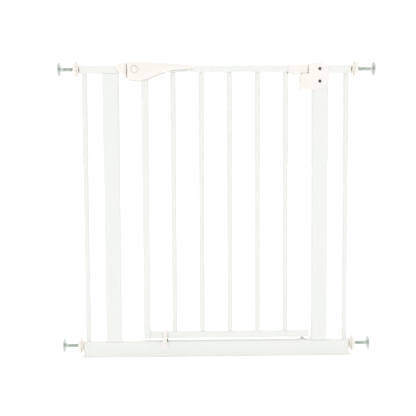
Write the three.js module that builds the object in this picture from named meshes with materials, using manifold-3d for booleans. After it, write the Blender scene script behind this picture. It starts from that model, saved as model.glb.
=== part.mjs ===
// Pressure-fit safety baby gate: a welded steel frame with a door that swings both ways.
// Units are millimetres. X runs to the right, Y to the back, Z up. The threshold rests on Z = 0.

import * as THREE from 'three';
import Module from 'manifold-3d';
import { mergeVertices } from 'three/addons/utils/BufferGeometryUtils.js';

const wasm = await Module();
wasm.setup();

// ---------------------------------------------------------------- driving dimensions

const frameHeight = 750;      // floor to the top of the frame
const passageWidth = 494;     // clear width between the posts
const sideBay = 58.5;         // a post's outer face to the frame's outer end
const frameDepth = 20;        // front to back of the threshold, the posts and the top stubs

const weldGap = 0.05;         // between pieces that are welded or pressed together
const runGap = 0.3;           // between pieces that move past each other
const insertGap = 0.15;       // around a plastic insert in a tube
const overrun = 5;            // how far a cutting tool passes beyond what it cuts
const joinLap = 0.5;          // how far two joined shapes run into each other
const leastCorner = 0.4;      // the smallest corner radius inside a tube

const threshold = { height: 40, wall: 1.5, corner: 2.5 };
const post = { width: 40, wall: 1.5, corner: 3 };
const stub = { height: 19, wall: 1.5, corner: 2 };
const stubCap = { length: 8, sink: 0.1 };
const bar = { radius: 6.35, wall: 1, neckRadius: 5.3, neckLength: 4, shoulder: 7 };
const outerBarInset = 11.5;   // an outer bar's axis from the frame's end

const plug = { flange: 3.5, corner: 3, collar: 11 };
const spindle = { radius: 4.8, tip: 0.8, insideLength: 22, upperDrop: 8, lowerHeight: 30 };
const spindleHead = { radius: 17.2, thickness: 3.4, edge: 1.5, hubRadius: 7.5, hubLength: 5 };
const nut = { radius: 20, rim: 8, edge: 2, hubRadius: 11.5, hubLength: 9, boss: 1.6, bossRadius: 9 };
// How far each spindle's head stands from the frame's end, and the nut's gap to that end.
const corners = {
  upper_left: { side: -1, top: true, reach: 54.2, nutGap: 2.4 },
  upper_right: { side: 1, top: true, reach: 60.8, nutGap: 3.2 },
  lower_left: { side: -1, top: false, reach: 53.2, nutGap: 0.8 },
  lower_right: { side: 1, top: false, reach: 53, nutGap: 1.6 },
};

const door = { bottom: 48.5, stileGap: 57.5, hingeGap: 23, tailPastHinge: 15.5 };
const doorTube = { size: 16, wall: 1.5, corner: 1.6, stileWidth: 17 };
const barCount = 5;
const lastBarToHinge = 45.4;  // the last bar's axis to the hinge axis
const railCap = { flange: 1.5, plug: 10, corner: 0.6 };

const hingePin = { radius: 4, upperBelow: 22, lowerInThreshold: 16, intoRail: 13 };
const sleeve = { length: 39.6, below: 4, above: 1.5, side: 3, socket: 21.6, endCorner: 1.2, roof: 3 };
const sleeveScrew = { offset: 25, headRadius: 2.6, head: 1.2, radius: 1.4, length: 5 };
const pivotSocket = { flangeRadius: 9, flange: 2, wall: 2, edge: 0.6 };

const bracket = { wall: 5, drop: 61, rise: 5.5, blockReach: 31.2, underSleeve: 0.6, slit: 1.2 };
const bracketStep = { length: 3, drop: 5, corner: 1 };
const bracketPlate = { reach: 42.4, mid: -22, straight: 13, lip: 2, lipDrop: 0.8 };
// How far the handles of the plate's lower and upper curves reach along each side.
const bracketCurve = { lowerInset: 11, lowerRise: 2, side: 18, upperInset: 13 };
const bracketScrews = { inset: 17.7, upper: -8.8, lower: -40.3 };
const boltedScrew = { radius: 2, headRadius: 3.7, head: 2.2, recessRadius: 5.2, recess: 0.9, cover: 1.9 };

const latch = { sideRoom: 4, plate: 4, slit: 3, catchReach: 20 };
const leaf = { length: 169.4, drop: 37.5, rise: 11, leftDrop: 33.6, tipTop: -0.6, tipBottom: -5.6 };
const leafHollow = { length: 38, skin: 3.2 };
const lever = { pinRadius: 2, pinInset: 10, pinAbove: 1.5, lugRadius: 5, pinIntoPlate: 2.5 };
const leverSpring = { radius: 3.4, wire: 0.4, turns: 2.5, pitch: 1.1 };
const button = { radius: 8.5, inset: 18, drop: 9, proud: 1.2, collar: 1.8, collarProud: 0.6 };
const handleScrews = {
  positions: [74, 104], above: 3.4, headRadius: 2, head: 1.5, radius: 1.1, intoFront: 7.6,
};

const bolt = { size: 6, drop: 15, length: 26, engage: 6, chamfer: 1.6, nose: 2.4, travel: 7.2, spring: 4 };
const drivePin = { radius: 1.5, slack: 0.5, rise: 1.6, intoPlate: 2.5, proud: 0.8 };
const boltSpring = { radius: 2.1, wire: 0.35, turns: 3 };
const housing = { bottom: 28, top: 2, setback: 1.5, spigot: 22 };

const catchPlate = { lap: 11, tipDrop: 1, riseAtPost: 4.3, riseAtSlit: 7.3, drop: 29.6, corner: 1.6 };
const catchScrews = [{ inset: 9.5, drop: -0.5 }, { inset: 13.5, drop: 11.5 }];
const catchScrew = { radius: 1.4, headRadius: 2.7, head: 1.8, intoFront: 9 };

const stop = { bossRadius: 9.5, armLength: 41.5, thickness: 5, lean: 2.6, fromPassage: 111, height: 30.5 };
const stopArm = { waist: 4.4, tip: 4.9, waistHeight: 18, waistLean: 2.2, tipCorner: 3 };
const stopScrew = { radius: 2, headRadius: 3.6, head: 1.6, length: 12 };

const roundSegments = 16;
const smallSegments = 12;
const discSegments = 24;
const cornerSteps = 2;        // steps on a tube's rounded corners
const outlineSteps = 6;       // steps on each curve of a moulded outline

// ---------------------------------------------------------------- places worked out from them

const postInner = passageWidth / 2;
const postOuter = postInner + post.width;
const frameEnd = postOuter + sideBay;
const railEnd = frameEnd - plug.flange;
const outerBarX = frameEnd - outerBarInset;
const postCentre = postInner + post.width / 2;
const stubBottom = frameHeight - stub.height;

const hingeX = postInner - door.hingeGap;
const stileLeft = -postInner + door.stileGap;
const stileRight = stileLeft + doorTube.stileWidth;
const stileCentre = (stileLeft + stileRight) / 2;
const lastBarX = hingeX - lastBarToHinge;
const doorRailBottom = frameHeight - doorTube.size;
const doorRailTop = door.bottom + doorTube.size;
const sleeveLeft = hingeX - sleeve.length;
const sleeveBottom = doorRailBottom - sleeve.below;
const sleeveHalf = doorTube.size / 2 + sleeve.side;
// The circle that the sleeve's square end sweeps about the hinge axis.
const sleeveSweep = Math.hypot(sleeveHalf, sleeveHalf) - sleeve.endCorner * (Math.SQRT2 - 1);
const bracketHalf = frameDepth / 2 + bracket.wall;
const blockTop = sleeveBottom - bracket.underSleeve;

const slitLeft = -postInner + latch.catchReach;
const slitRight = slitLeft + latch.slit;
const plateInner = doorTube.size / 2 + latch.sideRoom;
const latchHalf = plateInner + latch.plate;
const boltZ = frameHeight - bolt.drop;
const leverX = slitRight + lever.pinInset;
const leverZ = frameHeight + lever.pinAbove;
const buttonX = slitRight + button.inset;
const buttonZ = frameHeight - button.drop;
const boltTip = slitLeft - bolt.engage;
const boltBack = boltTip + bolt.length;
const channelEnd = boltBack + bolt.travel + bolt.spring;

const upperSpindleZ = frameHeight - spindle.upperDrop;
// The origin is the middle of the whole width, between the two furthest heads.
const leftReach = Math.max(corners.upper_left.reach, corners.lower_left.reach);
const rightReach = Math.max(corners.upper_right.reach, corners.lower_right.reach);
const originX = (rightReach - leftReach) / 2;

// ---------------------------------------------------------------- geometry helpers

function solidOf(geometry) {
  const bare = new THREE.BufferGeometry();
  bare.setAttribute('position', geometry.getAttribute('position'));
  if (geometry.index) {
    bare.setIndex(geometry.index);
  }
  const merged = mergeVertices(bare, 1e-4);
  const vertProperties = new Float32Array(merged.getAttribute('position').array);
  const triVerts = new Uint32Array(merged.index.array);
  return new wasm.Manifold(new wasm.Mesh({ numProp: 3, vertProperties, triVerts }));
}

function geometryOf(solid) {
  const mesh = solid.getMesh();
  const geometry = new THREE.BufferGeometry();
  geometry.setAttribute('position', new THREE.BufferAttribute(mesh.vertProperties, 3));
  geometry.setIndex(new THREE.BufferAttribute(mesh.triVerts, 1));
  geometry.computeVertexNormals();
  return geometry;
}

function cut(base, ...tools) {
  let solid = solidOf(base);
  for (const tool of tools) {
    solid = solid.subtract(solidOf(tool));
  }
  return geometryOf(solid);
}

function join(...parts) {
  let solid = solidOf(parts[0]);
  for (const part of parts.slice(1)) {
    solid = solid.add(solidOf(part));
  }
  return geometryOf(solid);
}

function block(x0, x1, y0, y1, z0, z1) {
  const geometry = new THREE.BoxGeometry(x1 - x0, y1 - y0, z1 - z0);
  geometry.translate((x0 + x1) / 2, (y0 + y1) / 2, (z0 + z1) / 2);
  return geometry;
}

function extrude(shape, length, curveSegments) {
  return new THREE.ExtrudeGeometry(shape, { depth: length, bevelEnabled: false, curveSegments });
}

// A shape drawn in X and Z, carried from y0 to y1.
function extrudeY(shape, y0, y1) {
  const geometry = extrude(shape, y1 - y0, outlineSteps);
  geometry.rotateX(Math.PI / 2);
  geometry.translate(0, y1, 0);
  return geometry;
}

// A shape drawn in X and Y, carried from z0 to z1.
function extrudeZ(shape, z0, z1) {
  const geometry = extrude(shape, z1 - z0, cornerSteps);
  geometry.translate(0, 0, z0);
  return geometry;
}

// A shape drawn in Y and Z, carried from x0 to x1.
function extrudeX(shape, x0, x1) {
  const geometry = extrude(shape, x1 - x0, cornerSteps);
  const alongX = new THREE.Matrix4().makeBasis(
    new THREE.Vector3(0, 1, 0), new THREE.Vector3(0, 0, 1), new THREE.Vector3(1, 0, 0));
  geometry.applyMatrix4(alongX);
  geometry.translate(x0, 0, 0);
  return geometry;
}

function roundedRectangle(centreA, centreB, width, height, radius, target = new THREE.Shape()) {
  const a0 = centreA - width / 2;
  const a1 = centreA + width / 2;
  const b0 = centreB - height / 2;
  const b1 = centreB + height / 2;
  target.moveTo(a0 + radius, b0);
  target.lineTo(a1 - radius, b0);
  target.absarc(a1 - radius, b0 + radius, radius, -Math.PI / 2, 0);
  target.lineTo(a1, b1 - radius);
  target.absarc(a1 - radius, b1 - radius, radius, 0, Math.PI / 2);
  target.lineTo(a0 + radius, b1);
  target.absarc(a0 + radius, b1 - radius, radius, Math.PI / 2, Math.PI);
  target.lineTo(a0, b0 + radius);
  target.absarc(a0 + radius, b0 + radius, radius, Math.PI, Math.PI * 1.5);
  return target;
}

function rectangularTube(centreA, centreB, width, height, corner, wall) {
  const shape = roundedRectangle(centreA, centreB, width, height, corner);
  const innerCorner = Math.max(corner - wall, leastCorner);
  const hole = roundedRectangle(
    centreA, centreB, width - 2 * wall, height - 2 * wall, innerCorner, new THREE.Path());
  shape.holes.push(hole);
  return shape;
}

// A profile of [radius, height] pairs turned about Z.
function turnedZ(profile, segments = roundSegments) {
  const points = profile.map(([radius, height]) => new THREE.Vector2(radius, height));
  const geometry = new THREE.LatheGeometry(points, segments);
  geometry.rotateX(Math.PI / 2);
  return geometry;
}

// The same profile with its height running along +X.
function turnedX(profile, segments = roundSegments) {
  const geometry = turnedZ(profile, segments);
  geometry.rotateY(Math.PI / 2);
  return geometry;
}

// The same profile with its height running along +Y.
function turnedY(profile, segments = roundSegments) {
  const geometry = turnedZ(profile, segments);
  geometry.rotateX(-Math.PI / 2);
  return geometry;
}

function rodZ(x, y, z0, z1, radius, segments = smallSegments) {
  const geometry = turnedZ([[0, z0], [radius, z0], [radius, z1], [0, z1]], segments);
  geometry.translate(x, y, 0);
  return geometry;
}

function rodY(x, z, y0, y1, radius, segments = smallSegments) {
  const geometry = turnedY([[0, y0], [radius, y0], [radius, y1], [0, y1]], segments);
  geometry.translate(x, 0, z);
  return geometry;
}

function rodX(y, z, x0, x1, radius, segments = smallSegments) {
  const geometry = turnedX([[0, x0], [radius, x0], [radius, x1], [0, x1]], segments);
  geometry.translate(0, y, z);
  return geometry;
}

// A coil of round wire about +Z, from z = 0.
function coil(radius, wire, turns, pitch) {
  const stepsPerTurn = 8;
  const steps = Math.round(turns * stepsPerTurn);
  const points = [];
  for (let i = 0; i <= steps; i += 1) {
    const angle = (i / stepsPerTurn) * 2 * Math.PI;
    const height = (i / stepsPerTurn) * pitch;
    points.push(new THREE.Vector3(radius * Math.cos(angle), radius * Math.sin(angle), height));
  }
  const section = new THREE.Shape();
  section.absarc(0, 0, wire, 0, 2 * Math.PI);
  const path = new THREE.CatmullRomCurve3(points);
  return new THREE.ExtrudeGeometry(section, { steps, extrudePath: path, curveSegments: 3 });
}

// ---------------------------------------------------------------- materials

const colours = {
  powder: { color: 0xeef1ec, roughness: 0.45, metalness: 0.1 },
  plastic: { color: 0xf8f5ef, roughness: 0.4, metalness: 0 },
  button: { color: 0xf3efe8, roughness: 0.35, metalness: 0 },
  zinc: { color: 0x8c918c, roughness: 0.35, metalness: 0.9 },
  darkScrew: { color: 0x3f4a44, roughness: 0.4, metalness: 0.8 },
  spring: { color: 0xa6a8a8, roughness: 0.3, metalness: 0.95 },
};

function piece(name, geometry, look) {
  const material = new THREE.MeshStandardMaterial(colours[look]);
  const mesh = new THREE.Mesh(geometry, material);
  mesh.name = name;
  return mesh;
}

// ---------------------------------------------------------------- the frame's steelwork

function thresholdRail() {
  const middle = threshold.height / 2;
  const section = rectangularTube(
    0, middle, frameDepth, threshold.height, threshold.corner, threshold.wall);
  const tube = extrudeX(section, -railEnd, railEnd);
  const top = threshold.height;
  const socketHole = rodZ(
    hingeX, 0, top - overrun, top + overrun, hingePin.radius + pivotSocket.wall + runGap);
  const front = -frameDepth / 2;
  const screwHole = rodY(
    stopX(), stop.height, front - overrun, front + overrun, stopScrew.radius + insertGap);
  return piece('threshold_rail', cut(tube, socketHole, screwHole), 'powder');
}

function gatePost(name, side) {
  const section = rectangularTube(
    side * postCentre, 0, post.width, frameDepth, post.corner, post.wall);
  const tube = extrudeZ(section, threshold.height + weldGap, stubBottom - weldGap);
  return piece(name, boredForBracket(tube, side), 'powder');
}

// The right side's tubes have clearance holes for the bracket's screws.
function boredForBracket(tube, side) {
  if (side < 0) {
    return tube;
  }
  const holes = bracketScrewPlaces().map(({ x, z }) =>
    rodY(x, z, -frameDepth, frameDepth, boltedScrew.radius + runGap));
  return cut(tube, ...holes);
}

// The flush cap in the inner end of a top stub.
function stubEndCap(name, side) {
  const inset = 2 * (stub.wall + insertGap);
  const corner = Math.max(stub.corner - stub.wall, leastCorner);
  const section = roundedRectangle(
    0, frameHeight - stub.height / 2, frameDepth - inset, stub.height - inset, corner);
  const face = postInner + stubCap.sink;
  const ends = [side * face, side * (face + stubCap.length)].sort((a, b) => a - b);
  return piece(name, extrudeX(section, ends[0], ends[1]), 'plastic');
}

// A top stub lies over its post and carries the outer bar and the upper wall fixing.
function topStub(name, side) {
  const section = rectangularTube(
    0, frameHeight - stub.height / 2, frameDepth, stub.height, stub.corner, stub.wall);
  const ends = [side * postInner, side * railEnd].sort((a, b) => a - b);
  return piece(name, boredForBracket(extrudeX(section, ends[0], ends[1]), side), 'powder');
}

// A round tube whose two ends are swaged down before they meet the rails.
function neckedBar(name, x, z0, z1) {
  const { radius, wall, neckRadius, neckLength, shoulder } = bar;
  const profile = [
    [neckRadius, z0],
    [neckRadius, z0 + neckLength],
    [radius, z0 + shoulder],
    [radius, z1 - shoulder],
    [neckRadius, z1 - neckLength],
    [neckRadius, z1],
    [neckRadius - wall, z1],
    [neckRadius - wall, z1 - neckLength],
    [radius - wall, z1 - shoulder],
    [radius - wall, z0 + shoulder],
    [neckRadius - wall, z0 + neckLength],
    [neckRadius - wall, z0],
    [neckRadius, z0],
  ];
  const geometry = turnedZ(profile, roundSegments);
  geometry.translate(x, 0, 0);
  return piece(name, geometry, 'powder');
}

function outerBar(name, side) {
  return neckedBar(name, side * outerBarX, threshold.height + weldGap, stubBottom - weldGap);
}

// ---------------------------------------------------------------- end plugs, nuts and spindles

function endPlug(name, corner) {
  const tube = corner.top ? stub : threshold;
  const middle = corner.top ? frameHeight - stub.height / 2 : threshold.height / 2;
  const flangeShape = roundedRectangle(0, middle, frameDepth, tube.height, plug.corner);
  const flange = extrudeX(flangeShape, railEnd + weldGap, frameEnd);
  const inset = 2 * (tube.wall + insertGap);
  const collarShape = roundedRectangle(
    0, middle, frameDepth - inset, tube.height - inset,
    Math.max(tube.corner - tube.wall, leastCorner));
  const collar = extrudeX(collarShape, railEnd - plug.collar, railEnd + joinLap);
  const bore = rodX(
    0, spindleZ(corner), railEnd - plug.collar - overrun, frameEnd + overrun, spindle.radius + runGap,
    roundSegments);
  const geometry = cut(join(flange, collar), bore);
  return piece(name, mirrored(geometry, corner.side), 'plastic');
}

function spindleZ(corner) {
  return corner.top ? upperSpindleZ : spindle.lowerHeight;
}

// A piece drawn for the right side, turned half round about Z for the left side.
function mirrored(geometry, side) {
  if (side < 0) {
    geometry.rotateZ(Math.PI);
  }
  return geometry;
}

function handNut(name, corner) {
  const start = frameEnd + corner.nutGap;
  const rimStart = start + nut.hubLength - nut.rim / 2;
  const rimEnd = rimStart + nut.rim;
  const bore = spindle.radius + runGap;
  const profile = [
    [bore, start],
    [nut.hubRadius, start],
    [nut.hubRadius, rimStart],
    [nut.radius - nut.edge, rimStart],
    [nut.radius, rimStart + nut.edge],
    [nut.radius, rimEnd - nut.edge],
    [nut.radius - nut.edge, rimEnd],
    [nut.bossRadius, rimEnd],
    [nut.bossRadius, rimEnd + nut.boss],
    [bore, rimEnd + nut.boss],
    [bore, start],
  ];
  const geometry = turnedX(profile, discSegments);
  geometry.translate(0, 0, spindleZ(corner));
  return piece(name, mirrored(geometry, corner.side), 'plastic');
}

function threadedSpindle(name, corner) {
  const face = frameEnd + corner.reach;
  const { radius: headRadius, thickness, edge, hubRadius, hubLength } = spindleHead;
  const back = face - thickness;
  const inner = frameEnd - spindle.insideLength;
  const profile = [
    [0, inner],
    [spindle.radius - spindle.tip, inner],
    [spindle.radius, inner + spindle.tip],
    [spindle.radius, back - hubLength],
    [hubRadius, back],
    [headRadius - edge, back],
    [headRadius, back + edge],
    [headRadius, face - edge],
    [headRadius - edge, face],
    [0, face],
  ];
  const geometry = turnedX(profile, discSegments);
  geometry.translate(0, 0, spindleZ(corner));
  return piece(name, mirrored(geometry, corner.side), 'zinc');
}

// ---------------------------------------------------------------- the door's steelwork

function doorStile() {
  const section = rectangularTube(
    stileCentre, 0, doorTube.stileWidth, doorTube.size, doorTube.corner, doorTube.wall);
  const tube = extrudeZ(section, door.bottom, doorRailBottom - weldGap);
  return piece('door_stile', tube, 'powder');
}

function doorTopRail() {
  const middle = frameHeight - doorTube.size / 2;
  const section = rectangularTube(
    0, middle, doorTube.size, doorTube.size, doorTube.corner, doorTube.wall);
  const end = sleeveLeft + sleeve.socket - weldGap;
  const tube = extrudeX(section, stileLeft, end);
  const screwX = hingeX - sleeveScrew.offset;
  const hole = rodZ(
    screwX, 0, doorRailBottom - overrun, doorRailBottom + overrun, sleeveScrew.radius + insertGap);
  return piece('door_top_rail', cut(tube, hole), 'powder');
}

function doorBottomRail() {
  const middle = door.bottom + doorTube.size / 2;
  const section = rectangularTube(
    0, middle, doorTube.size, doorTube.size, doorTube.corner, doorTube.wall);
  const end = hingeX + door.tailPastHinge - railCap.flange - weldGap;
  const tube = extrudeX(section, stileRight + weldGap, end);
  const pinHole = rodZ(
    hingeX, 0, door.bottom - overrun, door.bottom + overrun, hingePin.radius + insertGap,
    roundSegments);
  return piece('door_bottom_rail', cut(tube, pinHole), 'powder');
}

function doorBars() {
  const bars = [];
  const pitch = (lastBarX - stileCentre) / barCount;
  for (let i = 1; i <= barCount; i += 1) {
    const x = stileCentre + pitch * i;
    bars.push(neckedBar(`door_bar_${i}`, x, doorRailTop + weldGap, doorRailBottom - weldGap));
  }
  return bars;
}

function doorRailCap() {
  const middle = door.bottom + doorTube.size / 2;
  const end = hingeX + door.tailPastHinge;
  const flangeShape = roundedRectangle(0, middle, doorTube.size, doorTube.size, doorTube.corner);
  const flange = extrudeX(flangeShape, end - railCap.flange, end);
  const inner = doorTube.size - 2 * (doorTube.wall + insertGap);
  const plugEnd = hingeX + hingePin.radius + runGap;
  const plugShape = roundedRectangle(0, middle, inner, inner, railCap.corner);
  const insert = extrudeX(plugShape, plugEnd, end - railCap.flange + joinLap);
  return piece('door_rail_cap', join(flange, insert), 'plastic');
}

function stileCap() {
  const outer = roundedRectangle(
    stileCentre, 0, doorTube.stileWidth, doorTube.size, doorTube.corner);
  const flange = extrudeZ(outer, door.bottom - weldGap - railCap.flange, door.bottom - weldGap);
  const inset = 2 * (doorTube.wall + insertGap);
  const inner = roundedRectangle(
    stileCentre, 0, doorTube.stileWidth - inset, doorTube.size - inset, railCap.corner);
  const insert = extrudeZ(inner, door.bottom - weldGap - joinLap, door.bottom + railCap.plug);
  return piece('stile_cap', join(flange, insert), 'plastic');
}

// ---------------------------------------------------------------- hinges

// The moulded end of the top rail. It turns on the upper pin.
function hingeSleeve() {
  const top = frameHeight + sleeve.above;
  const plan = roundedRectangle(
    (sleeveLeft + hingeX + sleeveHalf) / 2, 0, sleeve.length + sleeveHalf, 2 * sleeveHalf,
    sleeve.endCorner);
  const shell = extrudeZ(plan, sleeveBottom, top);
  const grip = doorTube.size / 2 + insertGap;
  const middle = frameHeight - doorTube.size / 2;
  const socket = block(
    sleeveLeft - overrun, sleeveLeft + sleeve.socket, -grip, grip, middle - grip, middle + grip);
  const pinBore = rodZ(
    hingeX, 0, sleeveBottom - overrun, top - sleeve.roof, hingePin.radius + insertGap, roundSegments);
  const screwX = hingeX - sleeveScrew.offset;
  const screwHole = rodZ(
    screwX, 0, sleeveBottom - overrun, doorRailBottom + joinLap, sleeveScrew.radius + insertGap);
  const geometry = cut(shell, socket, pinBore, screwHole);
  return piece('hinge_sleeve', geometry, 'plastic');
}

function sleeveScrewPiece() {
  const x = hingeX - sleeveScrew.offset;
  const headTop = sleeveBottom - weldGap;
  const head = rodZ(x, 0, headTop - sleeveScrew.head, headTop, sleeveScrew.headRadius);
  const shank = rodZ(x, 0, headTop - joinLap, headTop + sleeveScrew.length, sleeveScrew.radius);
  return piece('sleeve_screw', join(head, shank), 'zinc');
}

function upperHingePin() {
  const foot = blockTop - hingePin.upperBelow;
  const top = frameHeight + sleeve.above - sleeve.roof - runGap;
  return piece('upper_hinge_pin', rodZ(hingeX, 0, foot, top, hingePin.radius, roundSegments), 'zinc');
}

function lowerHingePin() {
  const foot = threshold.height - hingePin.lowerInThreshold;
  const top = door.bottom + hingePin.intoRail;
  return piece('lower_hinge_pin', rodZ(hingeX, 0, foot, top, hingePin.radius, roundSegments), 'zinc');
}

// A flanged cup in the threshold's top wall that the lower pin stands in.
function lowerPivotSocket() {
  const bore = hingePin.radius + runGap;
  const outer = hingePin.radius + pivotSocket.wall;
  const top = threshold.height + weldGap;
  const floor = threshold.height - hingePin.lowerInThreshold - runGap;
  const profile = [
    [0, floor - pivotSocket.wall],
    [outer, floor - pivotSocket.wall],
    [outer, top],
    [pivotSocket.flangeRadius, top],
    [pivotSocket.flangeRadius, top + pivotSocket.flange - pivotSocket.edge],
    [pivotSocket.flangeRadius - pivotSocket.edge, top + pivotSocket.flange],
    [bore, top + pivotSocket.flange],
    [bore, floor],
    [0, floor],
  ];
  const geometry = turnedZ(profile, roundSegments);
  geometry.translate(hingeX, 0, 0);
  return piece('lower_pivot_socket', geometry, 'plastic');
}

// The bracket's outline from the front: a block under the sleeve and a rounded plate on the post.
function bracketOutline() {
  const bottom = frameHeight - bracket.drop;
  const top = frameHeight + bracket.rise;
  const left = postInner - bracket.blockReach;
  const slitFace = hingeX + sleeveHalf + bracket.slit;
  const stepTop = blockTop - bracketStep.drop;
  const right = postInner + bracketPlate.reach;
  const middle = frameHeight + bracketPlate.mid;
  const straight = postInner + bracketPlate.straight;
  const shape = new THREE.Shape();
  const { corner } = bracketStep;
  const { lip, lipDrop } = bracketPlate;
  const { lowerInset, lowerRise, side, upperInset } = bracketCurve;
  shape.moveTo(left + corner, bottom);
  shape.lineTo(straight, bottom);
  shape.bezierCurveTo(right - lowerInset, bottom + lowerRise, right, bottom + side, right, middle);
  shape.bezierCurveTo(right, middle + side, right - upperInset, top, straight, top);
  shape.lineTo(slitFace + lip, top - lipDrop);
  shape.quadraticCurveTo(slitFace, top - lipDrop, slitFace, top - lipDrop - lip);
  shape.lineTo(slitFace, blockTop);
  shape.lineTo(left + bracketStep.length, blockTop);
  shape.lineTo(left + bracketStep.length, stepTop);
  shape.lineTo(left + corner, stepTop);
  shape.quadraticCurveTo(left, stepTop, left, stepTop - corner);
  shape.lineTo(left, bottom + corner);
  shape.quadraticCurveTo(left, bottom, left + corner, bottom);
  return shape;
}

function bracketScrewPlaces() {
  const x = postInner + bracketScrews.inset;
  return [
    { name: 'bracket_screw_upper', x, z: frameHeight + bracketScrews.upper },
    { name: 'bracket_screw_lower', x, z: frameHeight + bracketScrews.lower },
  ];
}

// One half of the bracket: side is -1 for the front half and +1 for the rear half.
function bracketShell(name, side) {
  const face = bracketHalf;
  const ends = [side * face, side * weldGap].sort((a, b) => a - b);
  const body = extrudeY(bracketOutline(), ends[0], ends[1]);
  const halfDepth = frameDepth / 2 + weldGap;
  const postRoom = block(
    postInner - weldGap, frameEnd, -halfDepth, halfDepth, 0, frameHeight + weldGap);
  const pinFoot = blockTop - hingePin.upperBelow - runGap;
  const pinBore = rodZ(
    hingeX, 0, pinFoot, blockTop + overrun, hingePin.radius + runGap, roundSegments);
  const sweepRoom = rodZ(
    hingeX, 0, blockTop, frameHeight + 2 * bracket.rise, sleeveSweep + runGap, discSegments);
  const holes = bracketScrewPlaces().flatMap(({ x, z }) => screwHoles(x, z, side, face));
  return piece(name, cut(body, postRoom, pinBore, sweepRoom, ...holes), 'plastic');
}

// The front half has the screw's clearance hole and recess, the rear half a blind pilot hole.
function screwHoles(x, z, side, face) {
  const hole = boltedScrew.radius + insertGap;
  if (side > 0) {
    return [rodY(x, z, 0, bracketHalf - boltedScrew.cover + runGap, hole)];
  }
  const counterbore = rodY(
    x, z, -face - overrun, headSeat(), boltedScrew.headRadius + runGap, roundSegments);
  const dish = rodY(
    x, z, -face - overrun, -face + boltedScrew.recess, boltedScrew.recessRadius, roundSegments);
  return [rodY(x, z, -face - overrun, 0, hole), counterbore, dish];
}

function headSeat() {
  return -bracketHalf + boltedScrew.recess + boltedScrew.head;
}

function bracketScrew({ name, x, z }) {
  const seat = headSeat() - weldGap;
  const head = rodY(x, z, seat - boltedScrew.head, seat, boltedScrew.headRadius, roundSegments);
  const shank = rodY(x, z, seat - joinLap, bracketHalf - boltedScrew.cover, boltedScrew.radius);
  return piece(name, join(head, shank), 'darkScrew');
}

// ---------------------------------------------------------------- catch on the left post

function catchOutline() {
  const { corner } = catchPlate;
  const tipX = -postInner - catchPlate.lap;
  const tipZ = frameHeight - catchPlate.tipDrop;
  const foot = frameHeight - catchPlate.drop;
  const top = frameHeight + catchPlate.riseAtSlit;
  const shape = new THREE.Shape();
  shape.moveTo(tipX, tipZ - corner / 2);
  shape.lineTo(slitLeft - corner, foot);
  shape.quadraticCurveTo(slitLeft, foot, slitLeft, foot + corner);
  shape.lineTo(slitLeft, top - corner);
  shape.quadraticCurveTo(slitLeft, top, slitLeft - corner, top);
  shape.quadraticCurveTo(
    -postInner, frameHeight + catchPlate.riseAtPost, tipX + corner / 2, tipZ);
  shape.closePath();
  return shape;
}

function catchScrewPlaces() {
  const names = ['catch_screw_upper', 'catch_screw_lower'];
  return catchScrews.map(({ inset, drop }, i) => ({
    name: names[i],
    x: slitLeft - inset,
    z: frameHeight - drop,
  }));
}

// One half of the catch: side is -1 for the front half and +1 for the rear half.
function catchShell(name, side) {
  const face = latchHalf;
  const ends = [side * face, side * weldGap].sort((a, b) => a - b);
  const body = extrudeY(catchOutline(), ends[0], ends[1]);
  const halfDepth = frameDepth / 2 + weldGap;
  const postRoom = block(
    -frameEnd, -postInner + weldGap, -halfDepth, halfDepth, 0, frameHeight + weldGap);
  const room = bolt.size / 2 + runGap;
  const pocket = block(
    boltTip - 2 * runGap, slitLeft + overrun, -room, room, boltZ - room, boltZ + room);
  const holes = catchScrewPlaces().flatMap(({ x, z }) => {
    const hole = rodY(
      x, z, -catchScrew.intoFront - runGap, face + overrun, catchScrew.radius + insertGap);
    const headRoom = rodY(
      x, z, face - catchScrew.head, face + overrun, catchScrew.headRadius + runGap);
    return [hole, headRoom];
  });
  return piece(name, cut(body, postRoom, pocket, ...holes), 'plastic');
}

function catchScrewPiece({ name, x, z }) {
  const seat = latchHalf - catchScrew.head + weldGap;
  const head = rodY(x, z, seat, seat + catchScrew.head - runGap, catchScrew.headRadius);
  const shank = rodY(x, z, -catchScrew.intoFront, seat + joinLap, catchScrew.radius);
  return piece(name, join(head, shank), 'zinc');
}

// ---------------------------------------------------------------- latch on the door

// The moulded block between the stile and the slit, with a spigot that plugs into the top rail.
function latchHousing() {
  const half = doorTube.size / 2;
  const left = slitRight + housing.setback;
  const right = stileLeft - weldGap;
  const body = block(
    left, right, -half, half, frameHeight - housing.bottom, frameHeight - housing.top);
  const lug = rodY(leverX, leverZ, -half, half, lever.lugRadius, roundSegments);
  const web = block(
    leverX - lever.lugRadius, leverX + lever.lugRadius, -half, half,
    frameHeight - housing.top - joinLap, leverZ);
  const inner = doorTube.size / 2 - doorTube.wall - insertGap;
  const railMiddle = frameHeight - doorTube.size / 2;
  const spigot = block(
    right - joinLap, right + housing.spigot, -inner, inner, railMiddle - inner, railMiddle + inner);
  const room = bolt.size / 2 + runGap;
  const channel = block(left - overrun, channelEnd, -room, room, boltZ - room, boltZ + room);
  const sweep = drivePin.radius + drivePin.slack + runGap;
  const window = block(
    leverX - sweep, leverX + bolt.travel + sweep, -half - overrun, half + overrun,
    boltZ - sweep, boltZ + sweep + drivePin.rise);
  const pinBore = rodY(leverX, leverZ, -half - overrun, half + overrun, lever.pinRadius + insertGap);
  const geometry = cut(join(body, lug, web, spigot), channel, window, pinBore);
  return piece('latch_housing', geometry, 'plastic');
}

function leverPin() {
  const half = plateInner + lever.pinIntoPlate;
  return piece('lever_pin', rodY(leverX, leverZ, -half, half, lever.pinRadius), 'zinc');
}

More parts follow.
